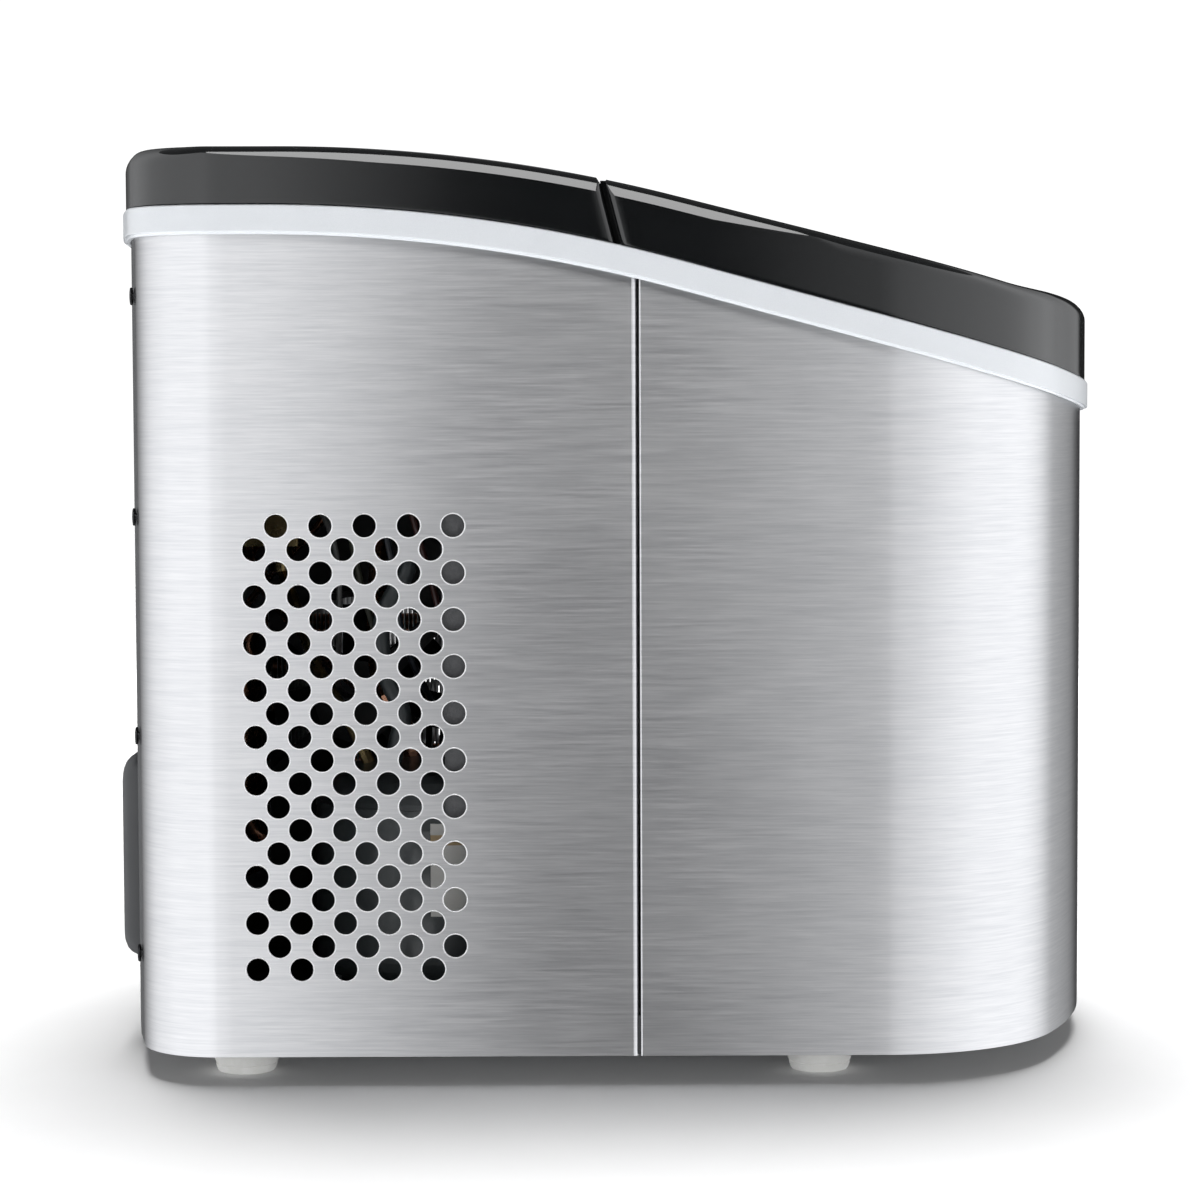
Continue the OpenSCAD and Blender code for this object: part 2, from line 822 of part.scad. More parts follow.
module pump_body() {
    color("#26282b") translate([pump_x, pump_y, pump_z]) difference() {
        union() {
            cylinder(r = 20, h = 14);
            translate([0, 0, 13.9]) cylinder(r = 17, h = 24);
            translate([0, 12, 7]) rotate([-90, 0, 0]) cylinder(r = 4.5, h = 14);
            translate([0, 24, 2.5]) cylinder(r = 4.5, h = 40);
            translate([0, 11, 20]) block(-3, 3, 0, 10, 0, 6);
        }
        difference() {
            translate([0, 0, -1]) cylinder(r = 15, h = 11.5);
            cylinder(r = pump_shaft_r, h = 12, $fn = 24);
        }
    }
}

module pump_impeller() {
    color("tomato") translate([pump_x, pump_y, pump_z]) difference() {
        union() {
            translate([0, 0, 1.5]) cylinder(r = 4, h = 7.5, $fn = 32);
            for (i = [0:5]) rotate([0, 0, 60 * i]) block(3, 13.5, -0.8, 0.8, 2, 8.5);
        }
        cylinder(r = pump_shaft_r + 0.05, h = 12, $fn = 24);
    }
}

module pump_strainer() {
    color("#303236") translate([pump_x, pump_y, tank_z]) difference() {
        cylinder(r = 20, h = 3);
        for (a = [0:45:315]) rotate([0, 0, a]) block(6, 16, -1.5, 1.5, -1, 1.6);
        translate([0, 0, -1]) cylinder(r = 5, h = 10, $fn = 32);
    }
}

// Hose from the pump's riser to the tray, in the frame of the whole object
hose_route = [[-80, -28, 103.6], [-80, -29, 118], [-90, -32, 150], [-98, -34, 190], [-98, -34, 240],
              [-96, -32, 280], [-88, -26, 300], [-72, -20, 306], [-57, -17, 302], [-53, -16.5, 291]];
module water_hose() {
    color("azure") tube(smooth(hose_route, 3), 4, [0, 1, 0], 10);
}

// ---------- drain ----------

module drain_spout() {
    color("gainsboro") difference() {
        union() {
            bar_x(9, tub_half - 1, 136, drain_y, drain_z);
            bar_x(14.6, 132, half_w - 0.2, drain_y, drain_z);
            bar_x(12, tub_half - 3, tub_half - 0.05, drain_y, drain_z);
        }
        bar_x(6, 0, far, drain_y, drain_z);
        bar_x(12.8, 134.5, far, drain_y, drain_z);
    }
}

module drain_cap() {
    color("black") difference() {
        union() {
            bar_x(11, 136, 141, drain_y, drain_z);
            block(140.9, half_w - 0.4, drain_y - 2, drain_y + 2, drain_z - 10.5, drain_z + 10.5);
            bar_x(5.9, 122, 136.1, drain_y, drain_z);
        }
        for (a = [0:30:330]) translate([138.5, drain_y, drain_z]) rotate([a, 0, 0])
            translate([0, 0, 11]) rotate([0, 90, 0]) cylinder(r = 1, h = 10, center = true, $fn = 24);
    }
}

// ---------- compressor ----------

function compressor_feet() = [for (x = [-55, 55], y = [-42, 42]) [comp_x + x, comp_y + y]];

module compressor() {
    profile = concat([[0, 30]], arc(comp_r - 12, 42, 12, -90, 0, 5), arc(comp_r - 22, 94, 22, 0, 65, 5),
                     [[18, 119], [0, 120]]);
    color("#2a2d30") {
        translate([comp_x, comp_y, 0]) {
            rotate_extrude($fn = 96) polygon(profile);
            translate([0, 0, 99]) cylinder(r = comp_r, h = 2.4, $fn = 96);
        }
        difference() {
            block(comp_x - 64, comp_x + 64, comp_y - 51, comp_y + 51, 28, 30.5);
            for (p = compressor_feet()) post(7.2, p[0], p[1], 0, 60);
        }
    }
}

module compressor_grommets() {
    color("#151515") for (p = compressor_feet()) difference() {
        union() {
            post(11, p[0], p[1], 18.1, 27.9, 32);
            post(7, p[0], p[1], 27.8, 30.7, 32);
            post(9.5, p[0], p[1], 30.6, 33.5, 32);
        }
        post(3, p[0], p[1], 0, 60, 32);
    }
}

module compressor_bolts() {
    color("silver") for (p = compressor_feet()) {
        post(2.4, p[0], p[1], 14, 34, 24);
        post(7, p[0], p[1], 33.6, 34.8, 24);
        post(4.5, p[0], p[1], 34.7, 38.5, 6);
    }
}

module terminal_cover() {
    color("#45494d") difference() {
        block(-34, 6, 46, 86, 46, 96);
        post(comp_r + 0.1, comp_x, comp_y, 0, far, 96);
        block(-14, -4, 40, 52, 40, 56);
    }
}

module rating_label() {
    color("white") translate([comp_x, comp_y, 0]) difference() {
        intersection() {
            translate([0, 0, 61]) cylinder(r = comp_r + 0.5, h = 36, $fn = 96);
            rotate([0, 0, 201]) block(20, 80, -22, 22, 0, far);
        }
        post(comp_r + 0.02, 0, 0, 0, far, 96);
    }
}

// ---------- condenser and fan ----------

cond_x0 = 112;
cond_x1 = 136;
cond_y0 = 68;
cond_y1 = 152;
cond_z0 = 44;
cond_z1 = 214;

module condenser() {
    bend_r = 10;
    color("silver") {
        block(cond_x0, cond_x1, cond_y0 + 2, cond_y1 - 2, cond_z0, cond_z1);
        for (y = [cond_y0, cond_y1 - 2.1]) block(cond_x0 - 2, cond_x1 + 2, y, y + 2.1, cond_z0 - 2, cond_z1 + 2);
        for (i = [0:3]) translate([(cond_x0 + cond_x1) / 2, cond_y1 - 0.1, cond_z0 + 24 + 40 * i])
            rotate([0, 90, 0]) rotate_extrude(angle = 180, $fn = 32) translate([bend_r, 0]) circle(r = 4, $fn = 24);
    }
}

module fan_shroud() {
    color("#202225") difference() {
        union() {
            block(102, 105, cond_y0 - 2, cond_y1 + 2, cond_z0 - 4, cond_z1 + 4);
            bar_x(fan_r + 5, 88, 103, fan_y, fan_z, 96);
            for (y = [cond_y0 - 2, cond_y1 - 1]) block(104, cond_x0 - 2, y, y + 3, cond_z0 - 4, cond_z1 + 4);
            block(102, cond_x0 - 2, cond_y0 - 2, cond_y1 + 2, panel_z + 3, cond_z0 - 3);
        }
        bar_x(fan_r + 2, 0, far, fan_y, fan_z, 96);
    }
}

module fan_motor() {
    post_r = fan_r + 8;
    color("dimgray") {
        bar_x(18, 52, 80, fan_y, fan_z);
        bar_x(6, 79.9, 82.5, fan_y, fan_z, 32);
        bar_x(1.6, 82.4, 96, fan_y, fan_z, 24);
        for (a = [45:90:315]) translate([0, fan_y, fan_z]) rotate([a, 0, 0]) {
            block(76, 79, -5, 5, 16, post_r + 3);
            translate([75, 0, post_r]) rotate([0, 90, 0]) cylinder(r = 2.5, h = 27, $fn = 24);
        }
    }
}

module fan_rotor() {
    color("#35383c") difference() {
        union() {
            bar_x(14, 84, 98, fan_y, fan_z);
            for (i = [0:6]) translate([91, fan_y, fan_z]) rotate([360 / 7 * i, 0, 0]) rotate([0, 0, 28])
                block(-0.9, 0.9, -9, 9, 12, fan_r - 1.5);
        }
        bar_x(1.66, 80, 96.2, fan_y, fan_z, 24);
    }
}

// ---------- refrigerant circuit ----------

drier_x = 34;
drier_y = 160;

module filter_drier() {
    color("peru") translate([drier_x, drier_y, 0]) rotate_extrude($fn = 48)
        polygon([[0, 70], [3, 70], [3, 76], [9.5, 84], [9.5, 140], [3, 150], [3, 156], [0, 156]]);
}

discharge_route = [[-56, 84, 117], [-54, 88, 132], [-34, 116, 154], [-4, 142, 178], [24, 156, 196],
                   [56, 158, 204], [84, 158, 204], [101, 160, 200], [124, 160, 197]];
liquid_route = [[124, 158, 47], [112, 164, 46], [90, 168, 46], [60, 168, 48], [40, 162, 54], [34, 160, 69.8]];
capillary_route = [[34, 160, 156], [32, 156, 172], [20, 140, 190], [6, 124, 206], [4, 112, 222],
                   [24, 98, 238], [46, 90, 252], [58, 84, 262]];
suction_route = [[101, 57.2, 309], [101, 68, 305], [104, 78, 286], [84, 90, 252], [30, 96, 214],
                 [-30, 96, 176], [-70, 92, 148], [-82, 82, 130], [-82, 78, 118.5]];
hot_gas_in = [[-78, 96, 115], [-76, 104, 132], [-60, 118, 152], [-34, 130, 178], [-20, 136, 190]];
hot_gas_out = [[-20, 120, 216], [-14, 104, 226], [10, 92, 240], [44, 86, 256], [76, 80, 274],
               [90, 70, 292], [90, 57.2, 297]];

module discharge_pipe() {
    color("peru") tube(smooth(discharge_route, 3), 3, [0, 0.5, 1]);
}

module liquid_pipe() {
    color("peru") tube(smooth(liquid_route, 3), 2.5, [0, 1, 0.2]);
}

module capillary_tube() {
    color("peru") tube(smooth(capillary_route, 3), 1.5, [0.3, 1, -0.4]);
}

module suction_pipe() {
    color("peru") tube(smooth(suction_route, 3), 4, [0.2, 1, 0.4]);
}

// Solenoid valve that feeds hot gas past the condenser to free the ice
module hot_gas_valve() {
    color("peru") {
        block(-34, -6, 128, 150, 200, 232);
        bar_y(5, 119.9, 128.1, -20, 216, 32);
        post(4.5, -20, 136, 189, 200.1, 32);
    }
    color("peru") tube(smooth(hot_gas_in, 3), 2.5, [1, 0, -0.2]);
    color("peru") tube(smooth(hot_gas_out, 3), 2.5, [0.3, 1, 0.6]);
}

// ---------- nodes ----------

base_tray();
foot(-foot_x, foot_front_y);  // foot_front_left
foot(foot_x, foot_front_y);  // foot_front_right
foot(-foot_x, foot_back_y);  // foot_back_left
foot(foot_x, foot_back_y);  // foot_back_right
foot_screws();
front_panel();
side_panel_left();
side_panel_right();
back_panel();
back_panel_screws();
rear_vent_cowl();
cable_gland();
trim_ring();
upper_frame();
top_cover();
control_strip();
display_lens();
indicator_lenses();
button(power_x);  // button_power
button(timer_x);  // button_timer
button(select_x);  // button_select
control_board();
power_board();
lid_frame();
lid_window();
lid_gasket();
hinge_pins();
tub();
insulation();
ice_basket();
ice_sensors();
evaporator();
evaporator_bracket();
water_tray();
tray_bushes();
tray_motor();
ice_shovel();
shovel_rod();
pump_body();
pump_impeller();
pump_strainer();
water_hose();
drain_spout();
drain_cap();
compressor();
terminal_cover();
compressor_grommets();
compressor_bolts();
rating_label();
condenser();
fan_shroud();
fan_motor();
fan_rotor();
filter_drier();
discharge_pipe();
liquid_pipe();
capillary_tube();
suction_pipe();
hot_gas_valve();
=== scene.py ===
"""Countertop bullet-ice maker: the visual model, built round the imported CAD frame.

+Z is up and the front faces -Y. Shapes are worked out in millimetres and turned into metres when a mesh is made.
"""
import json
import math

import bmesh
import bpy
import numpy as np
from mathutils import Matrix, Vector
from mathutils.geometry import delaunay_2d_cdt


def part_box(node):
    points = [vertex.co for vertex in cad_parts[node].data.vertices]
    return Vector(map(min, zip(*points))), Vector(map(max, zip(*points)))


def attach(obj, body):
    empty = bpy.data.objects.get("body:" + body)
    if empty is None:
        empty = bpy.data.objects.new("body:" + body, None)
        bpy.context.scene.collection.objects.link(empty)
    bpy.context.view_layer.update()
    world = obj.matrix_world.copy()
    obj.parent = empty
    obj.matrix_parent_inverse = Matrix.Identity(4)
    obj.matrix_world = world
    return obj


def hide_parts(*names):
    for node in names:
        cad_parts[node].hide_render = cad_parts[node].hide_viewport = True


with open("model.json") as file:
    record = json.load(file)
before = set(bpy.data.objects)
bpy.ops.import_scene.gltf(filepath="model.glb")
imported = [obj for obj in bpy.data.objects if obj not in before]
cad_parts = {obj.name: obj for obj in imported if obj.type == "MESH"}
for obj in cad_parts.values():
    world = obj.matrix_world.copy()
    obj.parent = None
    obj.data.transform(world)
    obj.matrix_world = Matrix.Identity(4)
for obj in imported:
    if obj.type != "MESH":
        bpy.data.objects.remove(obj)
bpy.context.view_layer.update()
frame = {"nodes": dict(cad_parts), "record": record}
MM = 0.001

# ----- camera -----

CAMERA_AT = (-1.368, 0.004, 0.2595)
CAMERA_DOWN, CAMERA_ROLL = math.radians(3.52), math.radians(0.22)
CAMERA_LENS = 97.59


def add_camera():
    """The photo's camera: it looks along +X, tipped down and rolled a little."""
    data = bpy.data.cameras.new("camera")
    data.lens = CAMERA_LENS
    data.sensor_width = 36
    camera = bpy.data.objects.new("camera", data)
    bpy.context.scene.collection.objects.link(camera)
    aim = Matrix.Rotation(-math.pi / 2, 4, "Z") @ Matrix.Rotation(math.pi / 2 - CAMERA_DOWN, 4, "X")
    camera.matrix_world = Matrix.Translation(CAMERA_AT) @ aim @ Matrix.Rotation(-CAMERA_ROLL, 4, "Z")
    bpy.context.scene.camera = camera


# ----- sizes, in millimetres -----


def low(node):
    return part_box(node)[0] / MM


def high(node):
    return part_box(node)[1] / MM


# read from the frame
HALF_W = high("front_panel").x
FRONT_REACH = -low("front_panel").y
BACK_REACH = high("back_panel").y
PANEL_Z = low("front_panel").z
TOP_Z = high("top_cover").z
TRIM_Z = high("trim_ring").z
TRIM_PROUD = high("trim_ring").x - HALF_W
SKIRT = high("top_cover").x - HALF_W
BACK_EDGE_X = high("back_panel").x + 0.4

# plan outline and side curves, as in the CAD model
BOW_FRONT_R, CORNER_FRONT_R = 240, 75
BOW_BACK_R, CORNER_BACK_R = 560, 32
FRONT_CENTRE_Y = BOW_FRONT_R - FRONT_REACH
BACK_CENTRE_Y = BACK_REACH - BOW_BACK_R
FRONT_A = math.degrees(math.asin((HALF_W - CORNER_FRONT_R) / (BOW_FRONT_R - CORNER_FRONT_R)))
BACK_A = math.degrees(math.asin((HALF_W - CORNER_BACK_R) / (BOW_BACK_R - CORNER_BACK_R)))
CORNER_FRONT_Y = FRONT_CENTRE_Y - (BOW_FRONT_R - CORNER_FRONT_R) * math.cos(math.radians(FRONT_A))
CORNER_BACK_Y = BACK_CENTRE_Y + (BOW_BACK_R - CORNER_BACK_R) * math.cos(math.radians(BACK_A))
FRONT_BOW_STEPS, FRONT_CORNER_STEPS = 15, 26
BACK_BOW_STEPS, BACK_CORNER_STEPS = 12, 18
CREST_R = 600
TOP_BEND_Y, TOP_SLOPE = 49.4, 14.3
TRIM_BEND_Y, TRIM_SLOPE = 51.7, 15.2
LIP_Y, LIP_RUN, LIP_RISE = -150, 38, 3.2
SHELF = 2.5
SHEET = 0.8
WALL = 2.5

# the joint between top cover and lid
SPLIT_Z = 342.6
SPLIT_LEAN = math.tan(math.radians(14.4))
COVER_START_Y = 4.24
LID_END_Y = COVER_START_Y - 2.27
HINGE_X, HINGE_Y, HINGE_Z = 122, 6, 341.5


def ease(t):
    """Rises from 0 to 1 with level ends."""
    t = np.clip(t, 0, 1)
    return t * t * (3 - 2 * t)


def side_curve(y, level, bend_y, slope):
    """Height of a curve that is level at the back, then a round crest, then a straight slope."""
    y = np.asarray(y, float)
    slope = math.radians(slope)
    start = bend_y + CREST_R * math.tan(slope / 2)
    run = np.clip(start - y, 0, CREST_R * math.sin(slope))
    crest = level - CREST_R + np.sqrt(CREST_R**2 - run**2)
    return crest - np.maximum(start - y - run, 0) * math.tan(slope)


def top_height(y):
    """The black top's height. It flattens a little towards the lid's front edge."""
    lip = LIP_RISE * ease((LIP_Y - np.asarray(y, float)) / LIP_RUN)
    return side_curve(y, TOP_Z, TOP_BEND_Y, TOP_SLOPE) + lip


def trim_height(y):
    """The height of the trim band's top edge."""
    return side_curve(y, TRIM_Z, TRIM_BEND_Y, TRIM_SLOPE)


# ----- outlines: rows of x, y and the outward normal -----


def arc(cx, cy, r, a0, a1, n):
    a = np.radians(np.linspace(a0, a1, n + 1))
    return np.column_stack([cx + r * np.cos(a), cy + r * np.sin(a), np.cos(a), np.sin(a)])


def circle(cx, cy, r, n):
    """Both coordinates of n points round a circle."""
    a = np.radians(np.arange(n) * 360 / n)
    return cx + r * np.cos(a), cy + r * np.sin(a)


def side_line(x, y0, y1, step=6):
    """A straight side facing +X, as rows no further apart than step."""
    n = max(1, math.ceil((y1 - y0) / step))
    return np.column_stack([np.full(n + 1, x), np.linspace(y0, y1, n + 1), np.ones(n + 1), np.zeros(n + 1)])


def front_right(grow=0.0):
    """Right half of the front, from just beside the middle to the start of the straight side."""
    first = 270 + FRONT_A / (2 * FRONT_BOW_STEPS)
    bow = arc(0, FRONT_CENTRE_Y, BOW_FRONT_R + grow, first, 270 + FRONT_A, FRONT_BOW_STEPS)
    corner_x = HALF_W - CORNER_FRONT_R
    corner = arc(corner_x, CORNER_FRONT_Y, CORNER_FRONT_R + grow, FRONT_A - 90, 0, FRONT_CORNER_STEPS)
    return np.vstack([bow[:-1], corner])


def bow_angle(x):
    """The direction from the back bow's centre to its point at x, in degrees."""
    return 90 - math.degrees(math.asin(x / BOW_BACK_R))


def back_right(grow=0.0, end_x=None):
    """Right half of the back, from the end of the straight side to just beside the middle, or to end_x."""
    corner_x = HALF_W - CORNER_BACK_R
    corner = arc(corner_x, CORNER_BACK_Y, CORNER_BACK_R + grow, 0, 90 - BACK_A, BACK_CORNER_STEPS)
    n, last = BACK_BOW_STEPS, 90 - BACK_A / (2 * BACK_BOW_STEPS)
    if end_x is not None:
        n, last = 2, bow_angle(end_x)
    bow = arc(0, BACK_CENTRE_Y, BOW_BACK_R + grow, 90 - BACK_A, last, n)
    return np.vstack([corner, bow[1:]])


def mirrored(rows):
    return rows[::-1] * (-1, 1, -1, 1)


def whole_outline(grow=0.0):
    side = side_line(HALF_W + grow, CORNER_FRONT_Y, CORNER_BACK_Y)
    right = np.vstack([front_right(grow), side[1:-1], back_right(grow)])
    return np.vstack([right, mirrored(right)])


def round_rect(hw, y0, y1, rf, rb, n=10, grow=0.0):
    """A rounded rectangle as rows, anticlockwise from the front right corner."""
    corners = ((hw - rf, y0 + rf, rf, -90), (hw - rb, y1 - rb, rb, 0), (rb - hw, y1 - rb, rb, 90),
               (rf - hw, y0 + rf, rf, 180))
    return np.vstack([arc(x, y, r + grow, turn, turn + 90, n) for x, y, r, turn in corners])


# ----- meshes -----


class Shape:
    """Vertices in millimetres and faces, gathered from closed pieces."""

    def __init__(self):
        self.verts = []
        self.faces = []
        self.sharp = []

    def points(self, rows):
        first = len(self.verts)
        self.verts.extend(tuple(map(float, row)) for row in rows)
        return list(range(first, len(self.verts)))

    def band(self, ring_a, ring_b):
        """Quads between two closed rings of vertex numbers."""
        n = len(ring_a)
        for i in range(n):
            k = (i + 1) % n
            self.faces.append((ring_a[i], ring_a[k], ring_b[k], ring_b[i]))

    def tube(self, rings, closed=False):
        """Rings of points joined one to the next. Open ends are capped."""
        ids = [self.points(ring) for ring in rings]
        for a, b in zip(ids, ids[1:]):
            self.band(a, b)
        if closed:
            self.band(ids[-1], ids[0])
        else:
            self.faces += [tuple(reversed(ids[0])), tuple(ids[-1])]

    def shell(self, rings, gap):
        """Rings joined in a loop, but not from ring gap to the next. Gives those two for the caller to fill."""
        ids = [self.points(ring) for ring in rings]
        for i, (a, b) in enumerate(zip(ids, ids[1:] + ids[:1])):
            if i != gap:
                self.band(a, b)
        return ids[gap], ids[gap + 1]

    def box(self, x0, x1, y0, y1, z0, z1):
        ring = [(x0, y0), (x1, y0), (x1, y1), (x0, y1)]
        self.tube([[(x, y, z) for x, y in ring] for z in (z0, z1)])

    def lathe(self, profile, centre, n, along_x=False):
        """A closed profile of (radius, height) pairs turned about Z, or X, through centre."""
        rings = [np.column_stack([*circle(0, 0, r, n), np.full(n, h)]) for r, h in profile]
        self.tube([np.roll(ring, int(along_x), 1) + centre for ring in rings], closed=True)

    def pipe(self, path, r, n=10):
        """A round tube of radius r along a path of points."""
        path = np.array(path, float)
        side = np.array([0.31, 0.2, 0.93])  # a direction that no path takes
        a = np.radians(np.arange(n) * 360 / n)[:, None]
        rings = []
        for i, p in enumerate(path):
            t = path[min(i + 1, len(path) - 1)] - path[max(i - 1, 0)]
            t /= np.linalg.norm(t)
            side = side - (side @ t) * t if i else np.cross(t, side)
            side /= np.linalg.norm(side)
            rings.append(p + r * (np.cos(a) * side + np.sin(a) * np.cross(t, side)))
        self.tube(rings)

    def mirror(self):
        self.verts = [(-x, y, z) for x, y, z in self.verts]

    def object(self, name, smooth_angle=32):
        mesh = bpy.data.meshes.new(name)
        mesh.from_pydata([Vector(v) * MM for v in self.verts], [], self.faces)
        work = bmesh.new()
        work.from_mesh(mesh)
        bmesh.ops.recalc_face_normals(work, faces=work.faces)
        work.to_mesh(mesh)
        work.free()
        shade(mesh, smooth_angle)
        sharp = {frozenset(pair) for pair in self.sharp}
        for edge in mesh.edges:
            if frozenset(edge.vertices) in sharp:
                edge.use_edge_sharp = True
        thing = bpy.data.objects.new(name, mesh)
        bpy.context.scene.collection.objects.link(thing)
        return thing


def shade(mesh, smooth_angle):
    mesh.polygons.foreach_set("use_smooth", [True] * len(mesh.polygons))
    mesh.set_sharp_from_angle(angle=math.radians(smooth_angle))
    mesh.update()


def smooth_path(points, steps=6):
    """A Catmull-Rom curve through given points."""
    p = np.array([points[0], *points, points[-1]], float)
    out = []
    for a, b, c, d in zip(p, p[1:], p[2:], p[3:]):
        for t in np.arange(steps) / steps:
            out.append(0.5 * (2 * b + (c - a) * t + (2 * a - 5 * b + 4 * c - d) * t**2
                              + (3 * b - a - 3 * c + d) * t**3))
    return np.array([*out, p[-1]])


def cut(thing, cutters, smooth_angle=32):
    """Subtracts a Shape of closed cutters from an object and keeps the result as its mesh."""
    tool = cutters.object("cutter")
    modifier = thing.modifiers.new("cut", "BOOLEAN")
    modifier.operation = "DIFFERENCE"
    modifier.solver = "EXACT"
    modifier.object = tool
    graph = bpy.context.evaluated_depsgraph_get()
    result = bpy.data.meshes.new_from_object(thing.evaluated_get(graph))
    old = thing.data
    thing.modifiers.clear()
    thing.data = result
    result.name = old.name
    bpy.data.meshes.remove(old)
    bpy.data.objects.remove(tool)
    shade(result, smooth_angle)


def finish_piece(thing, slot, *replaced, body="body"):
    """Gives a piece its body, its material by the record's slot, and the CAD nodes it stands for."""
    thing.data.materials.clear()
    thing.data.materials.append(MATERIALS[slot])
    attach(thing, body)
    if replaced:
        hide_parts(*replaced)


def unslotted_piece(thing, material):
    """A piece on the body whose material is not one of the record's slots."""
    thing.data.materials.append(MATERIALS[material])
    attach(thing, "body")


# ----- materials -----

MATERIALS = {}


class Look:
    """A Principled material being put together and kept in MATERIALS. Sizes are in millimetres."""

    def __init__(self, name, **sockets):
        material = MATERIALS[name] = bpy.data.materials.new(name)
        material.use_nodes = True
        self.nodes = material.node_tree.nodes
        self.links = material.node_tree.links
        self.shader = self.nodes["Principled BSDF"]
        self.place = self.nodes.new("ShaderNodeTexCoord").outputs["Object"]
        for socket, value in sockets.items():
            self.shader.inputs[socket.replace("_", " ")].default_value = value

    def noise(self, size, detail=2.0, stretch=(1, 1, 1), rough=0.5):
        """Noise with features of that size, stretched along the axes."""
        mapping = self.nodes.new("ShaderNodeMapping")
        mapping.inputs["Scale"].default_value = [1 / (size * s * MM) for s in stretch]
        self.links.new(self.place, mapping.inputs["Vector"])
        noise = self.nodes.new("ShaderNodeTexNoise")
        for socket, value in (("Scale", 1.0), ("Detail", detail), ("Roughness", rough)):
            noise.inputs[socket].default_value = value
        self.links.new(mapping.outputs["Vector"], noise.inputs["Vector"])
        return noise.outputs["Fac"]

    def math(self, operation, a, b):
        node = self.nodes.new("ShaderNodeMath")
        node.operation = operation
        self.links.new(a, node.inputs[0])
        if isinstance(b, float):
            node.inputs[1].default_value = b
        else:
            self.links.new(b, node.inputs[1])
        return node.outputs["Value"]

    def spread(self, value, low_in, high_in, low_out, high_out):
        """Maps value from one range to another, clamped."""
        node = self.nodes.new("ShaderNodeMapRange")
        for socket, number in zip(list(node.inputs)[1:5], (low_in, high_in, low_out, high_out)):
            socket.default_value = number
        self.links.new(value, node.inputs["Value"])
        return node.outputs["Result"]

    def mix(self, factor, a, b):
        """A colour between a and b, either of which may be a socket."""
        node = self.nodes.new("ShaderNodeMix")
        node.data_type = "RGBA"
        self.links.new(factor, node.inputs["Factor"])
        for socket, value in ((node.inputs[6], a), (node.inputs[7], b)):
            if isinstance(value, (tuple, list)):
                socket.default_value = (*value, 1)
            else:
                self.links.new(value, socket)
        return node.outputs[2]

    def bump(self, height, depth, strength, under=None):
        node = self.nodes.new("ShaderNodeBump")
        node.inputs["Distance"].default_value = depth * MM
        node.inputs["Strength"].default_value = strength
        self.links.new(height, node.inputs["Height"])
        if under is not None:
            self.links.new(under, node.inputs["Normal"])
        return node.outputs["Normal"]

    def set(self, socket, value):
        self.links.new(value, self.shader.inputs[socket])

    def colour(self, factor, a, b):
        self.set("Base Color", self.mix(factor, a, b))

    def rough(self, marks, low_out, high_out, low_in=0.3, high_in=0.7):
        """Roughness between two levels, following marks."""
        self.set("Roughness", self.spread(marks, low_in, high_in, low_out, high_out))

    def relief(self, height, depth, strength, under=None):
        self.set("Normal", self.bump(height, depth, strength, under))


def moulded(name, colour, rough, grain=0.5, depth=0.02, mottle=0.12, **sockets):
    """Moulded plastic: a fine spark-eroded grain, faint flow mottling and handling marks in the gloss."""
    look = Look(name, **sockets)
    darker = [c * (1 - mottle) for c in colour]
    lighter = [min(1, c * (1 + mottle * 0.6)) for c in colour]
    look.colour(look.noise(18, 4), darker, lighter)
    look.rough(look.noise(9, 5, rough=0.65), rough * 0.86, rough * 1.14, 0.35)
    look.relief(look.noise(grain, 2), depth, 0.5)


def gloss_black():
    """Piano-black moulding: polished, with fine dust and a trace of moulding ripple."""
    look = Look("gloss_black", Coat_Weight=0.28, Coat_Roughness=0.03, IOR=1.5)
    dust = look.spread(look.noise(0.55, 3, rough=0.7), 0.69, 0.78, 0, 1)
    look.colour(dust, (0.006, 0.0068, 0.0075), (0.035, 0.036, 0.037))
    look.rough(look.noise(26, 4, stretch=(1, 2.2, 1), rough=0.6), 0.05, 0.12, 0.4, 0.72)
    ripple = look.bump(look.noise(55, 1), 0.12, 0.25)
    look.relief(look.noise(1.4, 2), 0.004, 0.5, ripple)


def brushed_steel():
    """Stainless sheet brushed along the horizontal: hairlines, longer drawn streaks and faint cloudiness."""
    look = Look("brushed_steel", Metallic=1.0, Anisotropic=0.94, Anisotropic_Rotation=0.25)
    tangent = look.nodes.new("ShaderNodeTangent")
    tangent.direction_type = "RADIAL"
    tangent.axis = "Z"
    look.set("Tangent", tangent.outputs["Tangent"])
    hair = look.noise(0.16, 2, stretch=(60, 60, 1), rough=0.6)
    streak = look.noise(0.9, 3, stretch=(34, 34, 1), rough=0.6)
    cloud = look.noise(60, 3, stretch=(1.5, 1.5, 1))
    tone = look.math("ADD", look.math("MULTIPLY", hair, 0.35), look.math("MULTIPLY", streak, 0.65))
    look.colour(look.spread(tone, 0.36, 0.64, 0, 1), (0.54, 0.545, 0.56), (0.66, 0.66, 0.67))
    rough = look.math("ADD", look.spread(tone, 0.3, 0.7, 0.31, 0.37), look.spread(cloud, 0.3, 0.7, -0.015, 0.02))
    look.set("Roughness", rough)
    look.relief(hair, 0.006, 0.35, look.bump(streak, 0.01, 0.3))


def trim_plastic():
    """Pale silver-white painted band: metallic flake under a satin lacquer."""
    look = Look("trim_plastic", Coat_Weight=0.3, Coat_Roughness=0.12)
    flake = look.spread(look.noise(0.12, 1), 0.35, 0.7, 0, 1)
    fine = look.mix(flake, (0.78, 0.815, 0.855), (0.88, 0.905, 0.94))
    look.colour(look.spread(look.noise(30, 2), 0.3, 0.7, 0, 0.2), fine, (0.74, 0.78, 0.83))
    look.rough(look.noise(22, 2), 0.3, 0.36)
    look.relief(look.noise(0.8, 1), 0.003, 0.3)


